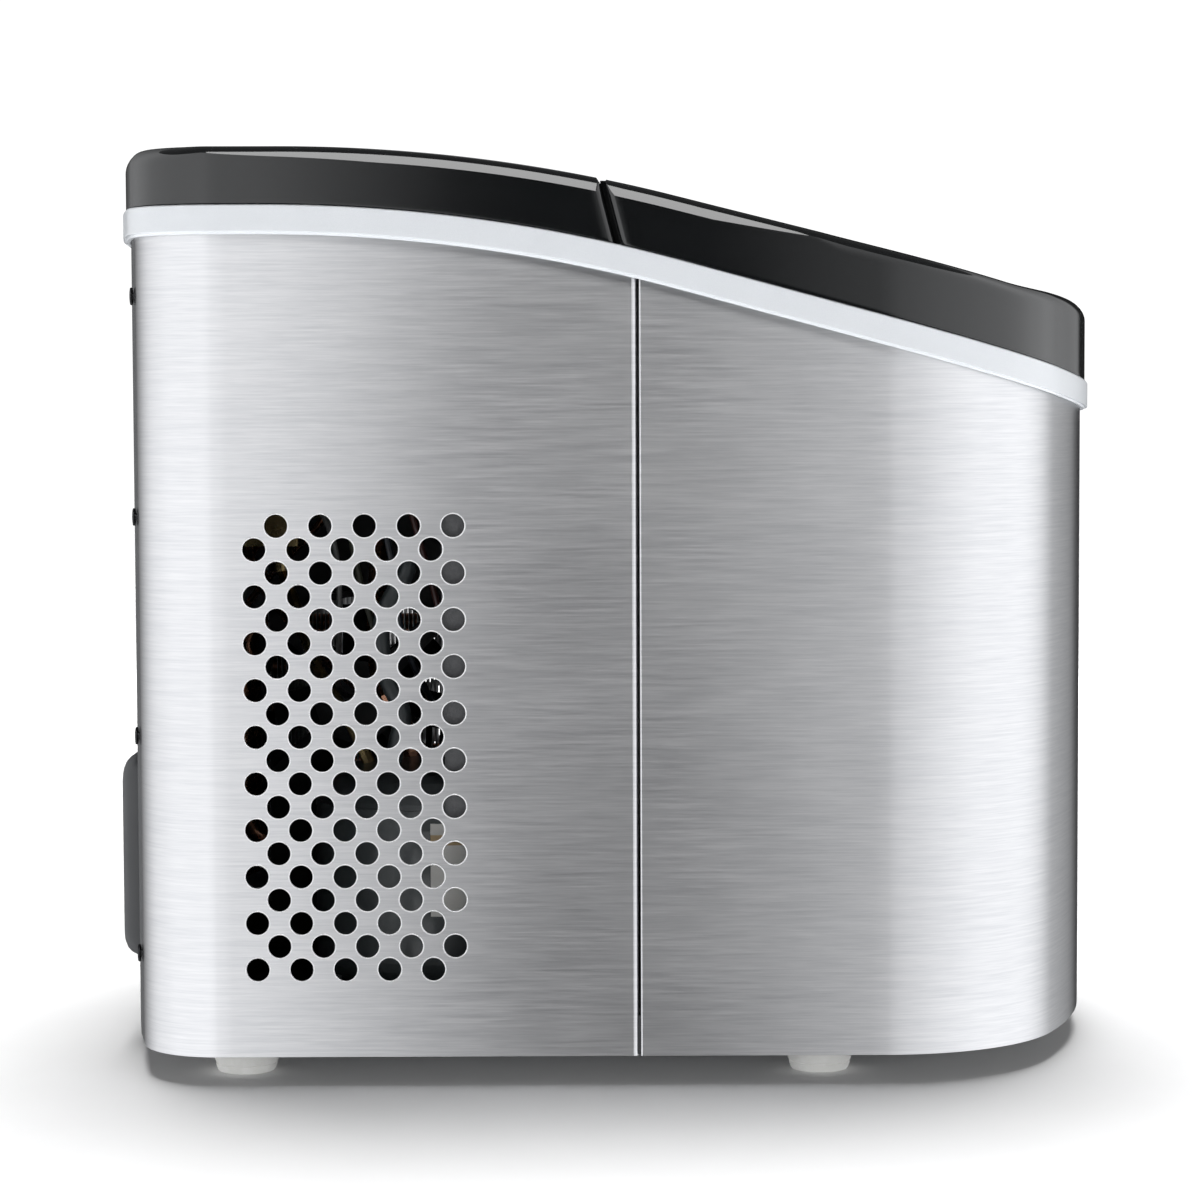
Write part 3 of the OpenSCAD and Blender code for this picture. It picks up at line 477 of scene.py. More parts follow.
def smoked_window():
    """Smoked clear plastic: dark, polished, with light scuffs."""
    look = Look("smoked_window", Transmission_Weight=0.55, IOR=1.49, Coat_Weight=0.2, Coat_Roughness=0.04)
    look.colour(look.noise(40, 2), (0.028, 0.033, 0.038), (0.04, 0.046, 0.052))
    look.rough(look.noise(0.5, 3, stretch=(1, 26, 26), rough=0.7), 0.04, 0.16, 0.55, 0.75)
    look.relief(look.noise(38, 1), 0.08, 0.2)


def lamp_lens():
    """Milky green lens, mottled within."""
    look = Look("lamp_lens", Transmission_Weight=0.2, IOR=1.47, Coat_Weight=0.4, Coat_Roughness=0.05)
    look.colour(look.noise(1.1, 2), (0.36, 0.56, 0.42), (0.62, 0.8, 0.66))
    look.rough(look.noise(0.5, 2), 0.18, 0.32)


def circuit_board():
    """Green lacquered board: copper tracks under the lacquer and solder dots."""
    look = Look("circuit_board", Coat_Weight=0.5, Coat_Roughness=0.12)
    tracks = look.math("PINGPONG", look.noise(7, 0, stretch=(1, 2.4, 1)), 0.06)
    line = look.spread(tracks, 0.022, 0.03, 0, 1)
    green = look.mix(line, (0.012, 0.11, 0.045), (0.04, 0.24, 0.09))
    dots = look.spread(look.noise(1.6, 0), 0.7, 0.74, 0, 1)
    look.colour(dots, green, (0.62, 0.6, 0.55))
    look.set("Metallic", dots)
    look.rough(look.noise(3, 3), 0.3, 0.45)
    look.relief(line, 0.05, 0.5)


def rubber(name, colour):
    """Moulded rubber with a pale bloom and a fine pitted skin."""
    look = Look(name, Sheen_Weight=0.15, Sheen_Roughness=0.5)
    bloom = look.spread(look.noise(5, 5, rough=0.65), 0.45, 0.78, 0, 0.5)
    look.colour(bloom, colour, [min(1, c * 1.35 + 0.02) for c in colour])
    look.rough(look.noise(3, 3), 0.54, 0.72)
    look.relief(look.noise(0.35, 3), 0.03, 0.5)


def silicone():
    """Milky silicone hose."""
    look = Look("silicone", Subsurface_Weight=0.35, Subsurface_Scale=0.002, Transmission_Weight=0.15)
    look.colour(look.noise(12, 3), (0.6, 0.66, 0.7), (0.75, 0.79, 0.82))
    look.rough(look.noise(2, 3), 0.28, 0.42)
    look.relief(look.noise(1.2, 2), 0.03, 0.3)


def foam():
    """Foamed insulation with a skin of small bubbles, coloured dark grey as painted shade: the white foam sits in
    shade behind the vents.
    """
    look = Look("foam")
    cells = look.noise(2.2, 4, rough=0.6)
    # painted shade: white foam coloured dark grey for the shade inside the casing
    look.colour(cells, (0.075, 0.077, 0.082), (0.12, 0.122, 0.128))
    look.rough(look.noise(4, 2), 0.75, 0.95)
    look.relief(cells, 0.5, 0.7)


def bright_metal(name, colour, tint, rough):
    """Plated or drawn metal with a fine grain and duller, tinted patches."""
    look = Look(name, Metallic=1.0)
    dull = look.noise(7, 5, rough=0.65)
    look.colour(look.spread(dull, 0.4, 0.72, 0, 1), colour, tint)
    look.rough(dull, rough * 0.8, rough * 1.35, 0.35)
    look.relief(look.noise(0.4, 3), 0.01, 0.4)


def painted_metal(name, colour, rough, depth=0.03):
    """Sprayed metal: orange peel and patches of dust."""
    look = Look(name, Coat_Weight=0.25, Coat_Roughness=0.2)
    dust = look.spread(look.noise(11, 5, rough=0.68), 0.45, 0.8, 0, 0.6)
    look.colour(dust, colour, [c * 1.5 + 0.015 for c in colour])
    look.rough(look.noise(5, 3), rough * 0.85, rough * 1.2)
    look.relief(look.noise(1.8, 2), depth, 0.5)


LABEL_BAND = (0.0885, 0.0925)
BAND_EDGE = 0.0002


def label():
    """Blank paper label with a tan band across it, between two heights in metres."""
    look = Look("label")
    place = look.nodes.new("ShaderNodeSeparateXYZ")
    look.links.new(look.place, place.inputs["Vector"])
    height = place.outputs["Z"]
    above, below = (look.spread(height, z, z + BAND_EDGE, *ends) for z, ends in zip(LABEL_BAND, ((0, 1), (1, 0))))
    band = look.math("MULTIPLY", above, below)
    paper = look.mix(look.noise(0.3, 4), (0.66, 0.655, 0.63), (0.78, 0.775, 0.75))
    look.colour(band, paper, (0.5, 0.36, 0.2))
    look.rough(look.noise(0.5, 2), 0.5, 0.65)
    look.relief(look.noise(0.25, 3), 0.01, 0.4)


def wire(name, colour):
    """Extruded insulation with a faint gloss."""
    look = Look(name, Coat_Weight=0.2, Coat_Roughness=0.2)
    look.colour(look.noise(4, 3), [c * 0.8 for c in colour], colour)
    look.rough(look.noise(1, 2), 0.35, 0.5)
    look.relief(look.noise(0.5, 2), 0.02, 0.3)


brushed_steel()
gloss_black()
trim_plastic()
smoked_window()
lamp_lens()
circuit_board()
silicone()
foam()
label()
moulded("dark_plastic", (0.028, 0.03, 0.033), 0.42, depth=0.03)
moulded("pale_plastic", (0.52, 0.54, 0.56), 0.4)
moulded("white_plastic", (0.74, 0.75, 0.755), 0.34, mottle=0.04, Coat_Weight=0.15)
moulded("silver_plastic", (0.5, 0.51, 0.53), 0.28, grain=0.15, mottle=0.06, Metallic=0.6)
# painted highlight: the steel lips round the vent holes are coloured pale and mostly matte, so they show their bright
# ring from every side
moulded("vent_rim_painted_highlight", (0.8, 0.805, 0.815), 0.3, grain=0.3, depth=0.004, mottle=0.05, Metallic=0.35)
rubber("grey_rubber", (0.24, 0.245, 0.25))
rubber("black_rubber", (0.012, 0.012, 0.013))
rubber("foot_rubber", (0.86, 0.86, 0.835))
bright_metal("zinc", (0.62, 0.63, 0.65), (0.5, 0.51, 0.5), 0.28)
bright_metal("nickel", (0.66, 0.63, 0.58), (0.5, 0.46, 0.4), 0.22)
bright_metal("copper", (0.8, 0.42, 0.27), (0.4, 0.2, 0.13), 0.26)
bright_metal("brass", (0.72, 0.56, 0.27), (0.45, 0.34, 0.17), 0.3)
bright_metal("black_screw", (0.035, 0.036, 0.038), (0.06, 0.06, 0.062), 0.4)
bright_metal("fin_aluminium", (0.72, 0.73, 0.74), (0.55, 0.56, 0.57), 0.35)
painted_metal("grey_sheet", (0.035, 0.037, 0.04), 0.5)
painted_metal("compressor_paint", (0.05, 0.058, 0.062), 0.34, depth=0.05)


# ----- steel shell -----

VENT_R = 4.4
VENT_PITCH, VENT_ROW = 16.65, 8.86
VENT_FIRST_Y, VENT_FIRST_Z = 59.3, 44.2
VENT_ROWS, VENT_COLUMNS = 20, 5
# the lip round a vent hole: outwards from the hole's edge, and up from the steel
VENT_LIP = [(-0.03, -0.5), (-0.03, 0.02), (0.07, 0.1), (0.2, 0.12), (0.33, 0.1), (0.45, -0.02), (0.3, -0.5)]
HOLE_SIDES = 32
DRAIN_HOLE = (-90, 72, 14.6)
SIDE_FOLD_R, FRONT_FOLD_R, FOLD_STEPS = 2.1, 0.6, 9
SIDE_FOLD_Y, FRONT_FOLD_Y = low("side_panel_right").y - 0.15, high("front_panel").y + 0.35
PANEL_GAP = 0.2
FLANGE, FLANGE_DROP = 8, 3.4
FLANGE_Z = high("base_tray").z + 0.6
# a side panel's lap under the back panel: its two ends inside that panel's edge, its step inwards and down
LAP_START, LAP_END, LAP_IN, LAP_DROP = 1.5, 14, 1.2, 3.2


def vent_holes():
    """Centres and radius of the vent holes; every second row starts half a pitch further back."""
    return [(VENT_FIRST_Y + VENT_PITCH * (i + 0.5 * (row % 2 == 0)), VENT_FIRST_Z + VENT_ROW * row, VENT_R)
            for row in range(VENT_ROWS) for i in range(VENT_COLUMNS)]


def bent_sheet(shape, path, z_low, z_high, holes, first, last, creases=()):
    """A sheet bent along path, whose rows are its outer face. Rows first to last are flat and hold the holes."""
    outer = path[:, :2]
    inner = outer - SHEET * path[:, 2:]
    edges = [shape.points(np.column_stack([face, z])) for face in (outer, inner) for z in (z_low, z_high)]
    low_out, high_out, low_in, high_in = edges
    shape.sharp += [(low_out[row], high_out[row]) for row in creases]
    add = shape.faces.append
    for i in range(len(path) - 1):
        if not first <= i < last:
            add((low_out[i], low_out[i + 1], high_out[i + 1], high_out[i]))
            add((low_in[i + 1], low_in[i], high_in[i], high_in[i + 1]))
        add((low_out[i + 1], low_out[i], low_in[i], low_in[i + 1]))
        add((high_out[i], high_out[i + 1], high_in[i + 1], high_in[i]))
    add((low_out[0], high_out[0], high_in[0], low_in[0]))
    add((low_out[-1], low_in[-1], high_in[-1], high_out[-1]))
    flat_with_holes(shape, range(first, last + 1), edges, holes)


def flat_with_holes(shape, rows, edges, holes):
    """Fills the flat stretch of a sheet round its holes, on both faces, and lines the holes."""
    low_out, high_out, low_in, high_in = edges
    for row in (rows[0], rows[-1]):
        shape.sharp += [(low_out[row], high_out[row]), (low_in[row], high_in[row])]
    outside = [low_out[i] for i in rows] + [high_out[i] for i in reversed(rows)]
    inside = [low_in[i] for i in rows] + [high_in[i] for i in reversed(rows)]
    plan = [Vector(shape.verts[i][1:]) for i in outside]
    bounds = [(i, (i + 1) % len(plan)) for i in range(len(plan))]
    steps = [(i, (i + 1) % HOLE_SIDES) for i in range(HOLE_SIDES)]
    for hole in holes:
        ring = circle(*hole, HOLE_SIDES)
        near, far = (shape.points(np.column_stack([np.full(HOLE_SIDES, x), *ring])) for x in (HALF_W, HALF_W - SHEET))
        shape.band(near, far)
        bounds += [(len(plan) + i, len(plan) + k) for i, k in steps]
        plan += [Vector(shape.verts[i][1:]) for i in near]
        shape.sharp += [(near[i], near[k]) for i, k in steps]
        outside += near
        inside += far
    _, _, triangles, source, _, _ = delaunay_2d_cdt(plan, bounds, [], 0, 1e-5)
    holes = np.array(holes)
    for triangle in triangles:
        ids = [source[i][0] for i in triangle]
        middle = sum((plan[i] for i in ids), Vector((0, 0))) / 3
        if np.any(np.hypot(*(holes[:, :2] - np.array(middle)).T) < holes[:, 2]):
            continue
        shape.faces += [tuple(outside[i] for i in ids), tuple(inside[i] for i in reversed(ids))]


def vent_rims(name, mirror):
    """The raised lip round every vent hole, coloured pale as a painted highlight for the light the steel lip catches.
    """
    shape = Shape()
    for y, z, r in vent_holes():
        shape.lathe([(r + out, up) for out, up in VENT_LIP], (HALF_W, y, z), HOLE_SIDES, along_x=True)
    if mirror:
        shape.mirror()
    unslotted_piece(shape.object(name, 60), "vent_rim_painted_highlight")


def fold_and_flange(shape, y, way, r):
    """The flange behind a folded edge at y on the right-hand side; way is +1 where the panel lies behind it."""
    far = y + way * SHEET
    top = float(trim_height(y)) - SHELF - FLANGE_DROP
    shape.box(HALF_W - FLANGE, HALF_W - r + 0.1, min(y, far), max(y, far), FLANGE_Z, top)
    return arc(HALF_W - r, y + way * r, r, -90 * way, 0, FOLD_STEPS)


def side_panel(name, node, mirror):
    """A side panel: folded at the seam, flat with its vents, bent round the back corner, lapped at its end."""
    shape = Shape()
    fold = fold_and_flange(shape, SIDE_FOLD_Y, 1, SIDE_FOLD_R)
    side = side_line(HALF_W, SIDE_FOLD_Y + SIDE_FOLD_R, CORNER_BACK_Y)
    start, end = (bow_angle(BACK_EDGE_X - inside) for inside in (LAP_START, LAP_END))
    lap = arc(0, BACK_CENTRE_Y, BOW_BACK_R - LAP_IN, start, end, 2)
    path = np.vstack([fold, side[1:-1], back_right(end_x=BACK_EDGE_X), lap])
    top = trim_height(path[:, 1]) - SHELF - PANEL_GAP
    top[-len(lap):] -= LAP_DROP
    bottom = np.full(len(path), PANEL_Z)
    bottom[-len(lap):] = FLANGE_Z
    first = len(fold) - 1
    bent_sheet(shape, path, bottom, top, vent_holes(), first, first + len(side) - 2)
    if mirror:
        shape.mirror()
    finish_piece(shape.object(name), "brushed_steel", node)


def front_panel():
    """The front wrap, from seam to seam, with the drain's hole in its right side."""
    shape = Shape()
    fold = fold_and_flange(shape, FRONT_FOLD_Y, -1, FRONT_FOLD_R)
    count = len(shape.verts)
    shape.verts += [(-x, y, z) for x, y, z in shape.verts]
    shape.faces += [tuple(i + count for i in face) for face in shape.faces]
    side = side_line(HALF_W, CORNER_FRONT_Y, FRONT_FOLD_Y - FRONT_FOLD_R)
    right = np.vstack([front_right(), side[1:-1], fold[::-1]])
    path = np.vstack([mirrored(right), right])
    top = trim_height(path[:, 1]) - SHELF - PANEL_GAP
    bottom = np.full(len(path), PANEL_Z)
    first = len(right) + len(front_right()) - 1
    bent_sheet(shape, path, bottom, top, [DRAIN_HOLE], first, len(path) - len(fold), (len(fold) - 1,))
    finish_piece(shape.object("steel_front"), "brushed_steel", "front_panel")


# ----- trim band -----


def trim_band():
    """The pale band under the covers: chamfered top edge, straight face and a step back along its foot."""
    face = [(0.7, 0), (0.25, -0.15), (0, -0.5), (0, -0.8), (0, -1.2), (0, -9.5), (0, -9.8), (0.06, -10.0),
            (0.25, -10.1), (1.1, -10.15), (1.3, -10.25), (1.4, -10.4), (1.4, -10.9), (1.6, -11.1)]
    inner_x, foot_x, foot_drop = -6, 0.15, -11.1
    profile = [(inner_x, 0), *((TRIM_PROUD - inset, drop) for inset, drop in face),
               (foot_x, foot_drop), (foot_x, -SHELF), (inner_x, -SHELF)]
    rings = []
    for grow, drop in profile:
        rows = whole_outline(grow)
        rings.append(np.column_stack([rows[:, :2], trim_height(rows[:, 1]) + drop]))
    shape = Shape()
    shape.tube(rings, closed=True)
    finish_piece(shape.object("trim_band", 50), "trim_plastic", "trim_ring")


# ----- top cover and lid -----

SPLIT_CORNER_R = 2.2
FACET_LEAN = math.radians(25)
RIM_R, HEEL_R = 4.5, 0.2
# the facet's height; how far from the joint it starts to shrink and is gone, and the power of the curve between;
# the radius of the plain rounding beyond it
COVER_EDGE = (2.8, (84, 147, 0.68), 6)
LID_EDGE = (3.1, (41, 78, 0.9), 5)
END_BLEND = 12
END_SHARE = 0.12
LEAN_START, LEAN_REACH = 3, 18
TOP_MARGIN = 1.2
# the foot of a casing's outside: inwards, and up from the trim band
SKIRT_FOOT = ((0.35, 0.3), (0.1, 0.38), (0, 0.65), (0, 1.6))
TONGUE_Z = (318, 341.6)
HINGE_POCKET_X, HINGE_POCKET_YZ = 6.5, (-9, 9.5, 333, 360)
COVER_TONGUE_X, LID_TONGUE_X = 116, (129, 140)
STRIP_POCKET = (-104, 104, -7, 7, -10, 10)
NOTCH_X, NOTCH_RISE, NOTCH_DROP = 24, 7, -12
# rounded rectangles under the lid and in it: half width, front, back, and the radii of the corners there
LID_WALL, WALL_WIDTH = (118, -175, -12, 52, 8), 2.4
LID_WINDOW = (92, -150, -28, 12, 12)


class Casing:
    """The cover or the lid. rows are the right half of its plan at the skirt, front to back.

    Its top edge is a leaning facet under a rounded rim. Away from the joint the facet tapers into a plain rounding.
    """

    def __init__(self, rows, corner, split_y, facet, taper, end_r):
        self.rows = rows
        self.corner = corner  # the rows that round the corner at the split
        self.split_y = split_y
        self.inward = 1 if split_y < rows[:, 1].mean() else -1
        away = np.abs(rows[:, 1] - split_y)
        self.facet = facet * np.clip((taper[1] - away) / (taper[1] - taper[0]), 0, 1) ** taper[2]
        beyond = ease((away - taper[1]) / END_BLEND)
        self.rim_r = RIM_R + (end_r - RIM_R) * beyond
        self.heel_r = HEEL_R + (end_r - HEEL_R) * beyond

    def edge(self):
        """Steps round the top edge from the side to the top: (inset, depth below the top) for every row."""
        s, c = math.sin(FACET_LEAN), math.cos(FACET_LEAN)
        depth = self.heel_r * s + self.facet + self.rim_r * (1 - s)
        steps = []
        for turn in np.linspace(0, FACET_LEAN, 4):
            steps.append((self.heel_r * (1 - math.cos(turn)), depth - self.heel_r * math.sin(turn)))
        start = self.heel_r * (1 - c) + self.facet * math.tan(FACET_LEAN)
        for turn in np.linspace(FACET_LEAN, math.pi / 2, 7):
            steps.append((start + self.rim_r * (c - math.cos(turn)), self.rim_r * (1 - math.sin(turn))))
        return steps

    def offset(self, inset, end):
        """The plan moved inwards by inset, and by end at the joint, with the corners there kept sharp."""
        inset = np.broadcast_to(inset, len(self.rows))
        end = np.broadcast_to(end, len(self.rows))
        plan = self.rows[:, :2] - inset[:, None] * self.rows[:, 2:]
        at, here, there = self.rows[self.corner], inset[self.corner], end[self.corner]
        r = np.maximum(SPLIT_CORNER_R - here, 0.25)
        used = SPLIT_CORNER_R - r
        centre = at[:, :2] - SPLIT_CORNER_R * at[:, 2:]
        centre = centre + np.column_stack([used - here, self.inward * (there - used)])
        plan[self.corner] = centre + at[:, 2:] * r[:, None]
        return plan

    def ring(self, inset, height, lift, end=None):
        """A closed ring at that inset, lifted from height(y). The edge at the split leans with the joint."""
        plan = self.offset(inset, np.asarray(inset) * END_SHARE if end is None else end)
        y = plan[:, 1]
        near = 1 - ease((np.abs(y - self.split_y) - LEAN_START) / LEAN_REACH)
        for _ in range(3):  # y and the height there settle together
            y = plan[:, 1] + near * (height(y) + lift - SPLIT_Z) * SPLIT_LEAN
        right = np.column_stack([plan[:, 0], y, height(y) + lift])
        return np.vstack([right, right[::-1] * (-1, 1, 1)])

    def shape(self):
        edge = self.edge()
        rings = [self.ring(inset, trim_height, lift) for inset, lift in SKIRT_FOOT]
        rings.append(self.ring(0, top_height, -edge[0][1] - 1.0))
        rings += [self.ring(inset, top_height, -depth) for inset, depth in edge]
        flat = edge[-1][0] + TOP_MARGIN
        rings += [self.ring(flat, top_height, 0), self.ring(flat + WALL, top_height, -WALL, WALL)]
        top = len(rings) - 2
        for inset, depth in reversed(edge[::2]):
            rings.append(self.ring(WALL + inset * 0.9, top_height, -WALL - depth, WALL))
        rings.append(self.ring(WALL, trim_height, SKIRT_FOOT[0][1], WALL))
        shape = Shape()
        for ring in shape.shell(rings, top):
            self.fill(shape, ring)
        return shape

    def fill(self, shape, ring):
        """Strips from side to side across the middle of a ring."""
        n = len(self.rows)
        for i in range(n - 1):
            shape.faces.append((ring[i], ring[i + 1], ring[2 * n - 2 - i], ring[2 * n - 1 - i]))


def strip_pocket(shape):
    """The pocket for the control strip, tilted with the top there."""
    y = (low("control_strip").y + high("control_strip").y) / 2
    slope = (top_height(y + 1) - top_height(y - 1)) / 2
    turn = Matrix.Rotation(math.atan(float(slope)), 3, "X")
    middle = Vector((0, y, float(top_height(y))))
    start = len(shape.verts)
    shape.box(*STRIP_POCKET)
    shape.verts[start:] = [tuple(middle + turn @ Vector(v)) for v in shape.verts[start:]]


def top_cover():
    r = SPLIT_CORNER_R
    corner = arc(HALF_W + SKIRT - r, COVER_START_Y + r, r, -90, 0, 6)
    side = side_line(HALF_W + SKIRT, COVER_START_Y + r, CORNER_BACK_Y, 4)
    rows = np.vstack([corner, side[1:-1], back_right(SKIRT)])
    casing = Casing(rows, slice(0, len(corner)), COVER_START_Y, *COVER_EDGE)
    cover = casing.shape().object("rear_cover")
    pockets = Shape()
    for x in (-HINGE_X, HINGE_X):
        pockets.box(x - HINGE_POCKET_X, x + HINGE_POCKET_X, *HINGE_POCKET_YZ)
    strip_pocket(pockets)
    cut(cover, pockets)
    finish_piece(cover, "gloss_black", "top_cover")
    tongue = Shape()
    gap_tongue(tongue, -COVER_TONGUE_X, COVER_TONGUE_X, COVER_START_Y - 1.2, COVER_START_Y + 0.8)
    finish_piece(tongue.object("cover_tongue"), "gloss_black")


def gap_tongue(shape, x0, x1, y0, y1):
    """A lip that leans with the joint and closes the view through it."""
    rings = []
    for z in TONGUE_Z:
        near, far = (y + (z - SPLIT_Z) * SPLIT_LEAN for y in (y0, y1))
        rings.append([(x0, near, z), (x1, near, z), (x1, far, z), (x0, far, z)])
    shape.tube(rings)


def hinge_ears():
    """Ears under the cover that hold the hinge pins."""
    shape = Shape()
    outline = [(3.2, 335), (9.5, 335), (10.8, 337), (10.8, 342), (3.6, 341.6)]
    for side in (-1, 1):
        for x in (HINGE_X - 11.7, HINGE_X + 6.7):
            ends = sorted((side * x, side * (x + 5)))
            shape.tube([[(end, y, z) for y, z in outline] for end in ends])
    finish_piece(shape.object("hinge_ears"), "dark_plastic")


def lid():
    r = SPLIT_CORNER_R
    corner = arc(HALF_W + SKIRT - r, LID_END_Y - r, r, 0, 90, 6)
    side = side_line(HALF_W + SKIRT, CORNER_FRONT_Y, LID_END_Y - r, 4)
    rows = np.vstack([front_right(SKIRT), side[1:-1], corner])
    at = slice(len(rows) - len(corner), len(rows))
    shape = Casing(rows, at, LID_END_Y, *LID_EDGE).shape()
    lid_wall(shape)
    knuckle = [(1.3, -5.6), (2.0, -5.7), (2.2, -5.5), (2.2, 5.5), (2.0, 5.7), (1.3, 5.6)]
    for side in (-1, 1):
        x = side * HINGE_X
        shape.lathe(knuckle, (x, HINGE_Y, HINGE_Z), 32, along_x=True)
        shape.box(x - 5.7, x + 5.7, -3, HINGE_Y - 1.5, 339.2, 341.4)
        ends = sorted(side * end for end in LID_TONGUE_X)
        gap_tongue(shape, *ends, LID_END_Y - 0.8, LID_END_Y + 1.7)
    piece = shape.object("lid_shell")
    cut(piece, window_cutter())
    finish_piece(piece, "gloss_black", "lid_frame", body="lid")


def lid_wall(shape):
    """The wall under the lid that carries the seal, closed into a ring."""
    rings = []
    for inset, height, drop in ((0, trim_height, 1), (0, top_height, 1.3), (WALL_WIDTH, top_height, 1.3),
                                (WALL_WIDTH, trim_height, 1)):
        rows = round_rect(*LID_WALL, grow=-inset)
        rings.append(np.column_stack([rows[:, :2], height(rows[:, 1]) - drop]))
    shape.tube(rings, closed=True)


def window_cutter():
    """The window's opening, its recess, and the finger notch in the lid's front edge."""
    cutter = Shape()
    for grow, depth in ((0, 12), (4.2, 1.4)):
        rows = round_rect(*LID_WINDOW, 8, grow)
        top = top_height(rows[:, 1])
        cutter.tube([np.column_stack([rows[:, :2], top + lift]) for lift in (-depth, 8)])
    turns = np.radians(np.linspace(0, 180, 13))
    notch = [(NOTCH_X * math.cos(a), NOTCH_RISE * math.sin(a) ** 0.6) for a in turns]
    notch += [(-NOTCH_X, NOTCH_DROP), (NOTCH_X, NOTCH_DROP)]
    z = float(trim_height(-FRONT_REACH))
    cutter.tube([[(x, y, z + up) for x, up in notch] for y in (-186, -220)])
    return cutter


# ----- back, feet and small outer parts -----

COWL_X, COWL_CORNER_R, COWL_SKIN = 62, 9, 2.2
COWL_Z0, COWL_Z1 = 34.5, 117
COWL_REACH = high("rear_vent_cowl").y
SLOT_X, SLOT_R = 47.5, 2.5
SLOT_LEVELS = [COWL_Z0 + 15 + 11 * i for i in range(6)]


def cowl_ring(inset, y):
    """A rounded rectangle across X and Z, at that distance back."""
    r = max(COWL_CORNER_R - inset * 0.4, 1.5)
    rows = round_rect(COWL_X - inset, COWL_Z0 + inset * 0.8, COWL_Z1 - inset, r, r, 6)
    return np.column_stack([rows[:, 0], np.full(len(rows), y), rows[:, 1]])


def rear_cowl():
    """The cowl over the air outlet: rounded edges and six slots with round ends."""
    base = COWL_REACH - 9
    profile = [(0, base), (0, COWL_REACH - 7), (0.4, COWL_REACH - 5.2), (1.6, COWL_REACH - 3.1),
               (3.4, COWL_REACH - 1.5), (5.8, COWL_REACH - 0.4), (8.4, COWL_REACH)]
    rings = [cowl_ring(inset, y) for inset, y in profile]
    rings += [cowl_ring(inset + COWL_SKIN, y - COWL_SKIN) for inset, y in reversed(profile[1:])]
    rings.append(cowl_ring(COWL_SKIN, base))
    shape = Shape()
    outer, inner = shape.shell(rings, len(profile) - 1)
    shape.faces += [tuple(outer), tuple(reversed(inner))]
    cowl = shape.object("air_cowl", 40)
    slots = Shape()
    for z in SLOT_LEVELS:
        ring = [(side * SLOT_X + SLOT_R * math.cos(a), z + SLOT_R * math.sin(a))
                for side, a0 in ((1, -90), (-1, 90)) for a in np.radians(np.linspace(a0, a0 + 180, 9))]
        slots.tube([[(x, y, z) for x, z in ring] for y in (base - 2, COWL_REACH + 2)])
    cut(cowl, slots, 40)
    finish_piece(cowl, "dark_plastic", "rear_vent_cowl")


def cowl_blades():
    """Slanted blades behind the cowl's slots."""
    shape = Shape()
    front, back = COWL_REACH - 6.5, COWL_REACH - 2.6
    for z in SLOT_LEVELS:
        ring = [(back, z - 3.4), (back, z - 2.6), (front, z + 3.2), (front, z + 2.4)]
        shape.tube([[(x, y, z) for y, z in ring] for x in (-50, 50)])
    finish_piece(shape.object("cowl_blades"), "dark_plastic")


def foot(name, node):
    """A rubber foot: domed sole edge, a groove round its waist and a recess for its screw."""
    middle = (low(node) + high(node)) / 2
    profile = [(2.4, 4.2), (5, 4.0), (5, 0.3), (5.4, 0), (9.9, 0), (10.8, 0.25), (11.3, 0.9), (11.9, 2.9),
               (12.0, 3.3), (11.8, 3.55), (12.1, 3.8), (12.5, 5.2), (12.8, 9.2), (12.5, 10.2), (11.9, 10.7),
               (2.4, 10.7)]
    shape = Shape()
    shape.lathe(profile, (middle.x, middle.y, 0), 48)
    finish_piece(shape.object(name), "foot_rubber", node)


# ----- inside: condenser and wiring -----

FIN_PITCH, FIN_THICK = 2.0, 0.35
CORE_INSET, PLATE_THICK, PLATE_STEP = 2, 1.2, 2.1
TUBE_R, TUBE_SIDES = 4, 14
TUBE_FIRST, TUBE_STEP, TUBE_COUNT = 14, 20, 8


def condenser():
    """Finned core: thin plates along Y, tubes through them, return bends at both ends."""
    a, b = low("condenser"), high("condenser")
    x0, x1 = a.x + CORE_INSET, b.x - CORE_INSET
    y0, y1 = a.y + PLATE_STEP, high("fan_shroud").y - 4
    z0, z1 = a.z + CORE_INSET, b.z - CORE_INSET
    middle = (x0 + x1) / 2
    fins = Shape()
    for k in range(int((y1 - y0) / FIN_PITCH)):
        y = y0 + FIN_PITCH * (k + 0.5)
        fins.box(x0, x1, y, y + FIN_THICK, z0, z1)
    finish_piece(fins.object("condenser_fins"), "fin_aluminium", "condenser")
    plates = Shape()
    for y in (y0 - PLATE_STEP, y1):
        plates.box(a.x, b.x, y, y + PLATE_THICK, a.z, b.z)
    finish_piece(plates.object("condenser_end_plates"), "zinc")
    tubes = Shape()
    levels = [z0 + TUBE_FIRST + TUBE_STEP * k for k in range(TUBE_COUNT)]
    for z in levels:
        tubes.pipe([(middle, y, z) for y in (y0 - 4, y1 + 3)], TUBE_R, TUBE_SIDES)
    r = TUBE_STEP / 2
    for k, z in enumerate(levels[:-1]):
        end, way = (y1 + 2, 1) if k % 2 == 0 else (y0 - 3, -1)
        tubes.pipe([(middle, end + way * r * math.cos(t), z + r + r * math.sin(t))
                    for t in np.radians(np.linspace(-90, 90, 13))], TUBE_R, TUBE_SIDES)
    finish_piece(tubes.object("condenser_tubes"), "copper")


def lead(name, colour, r, route, sides=10):
    """A lead or sleeve of radius r along a route of given points."""
    wire(name, colour)
    shape = Shape()
    shape.pipe(smooth_path(route), r, sides)
    unslotted_piece(shape.object(name), name)


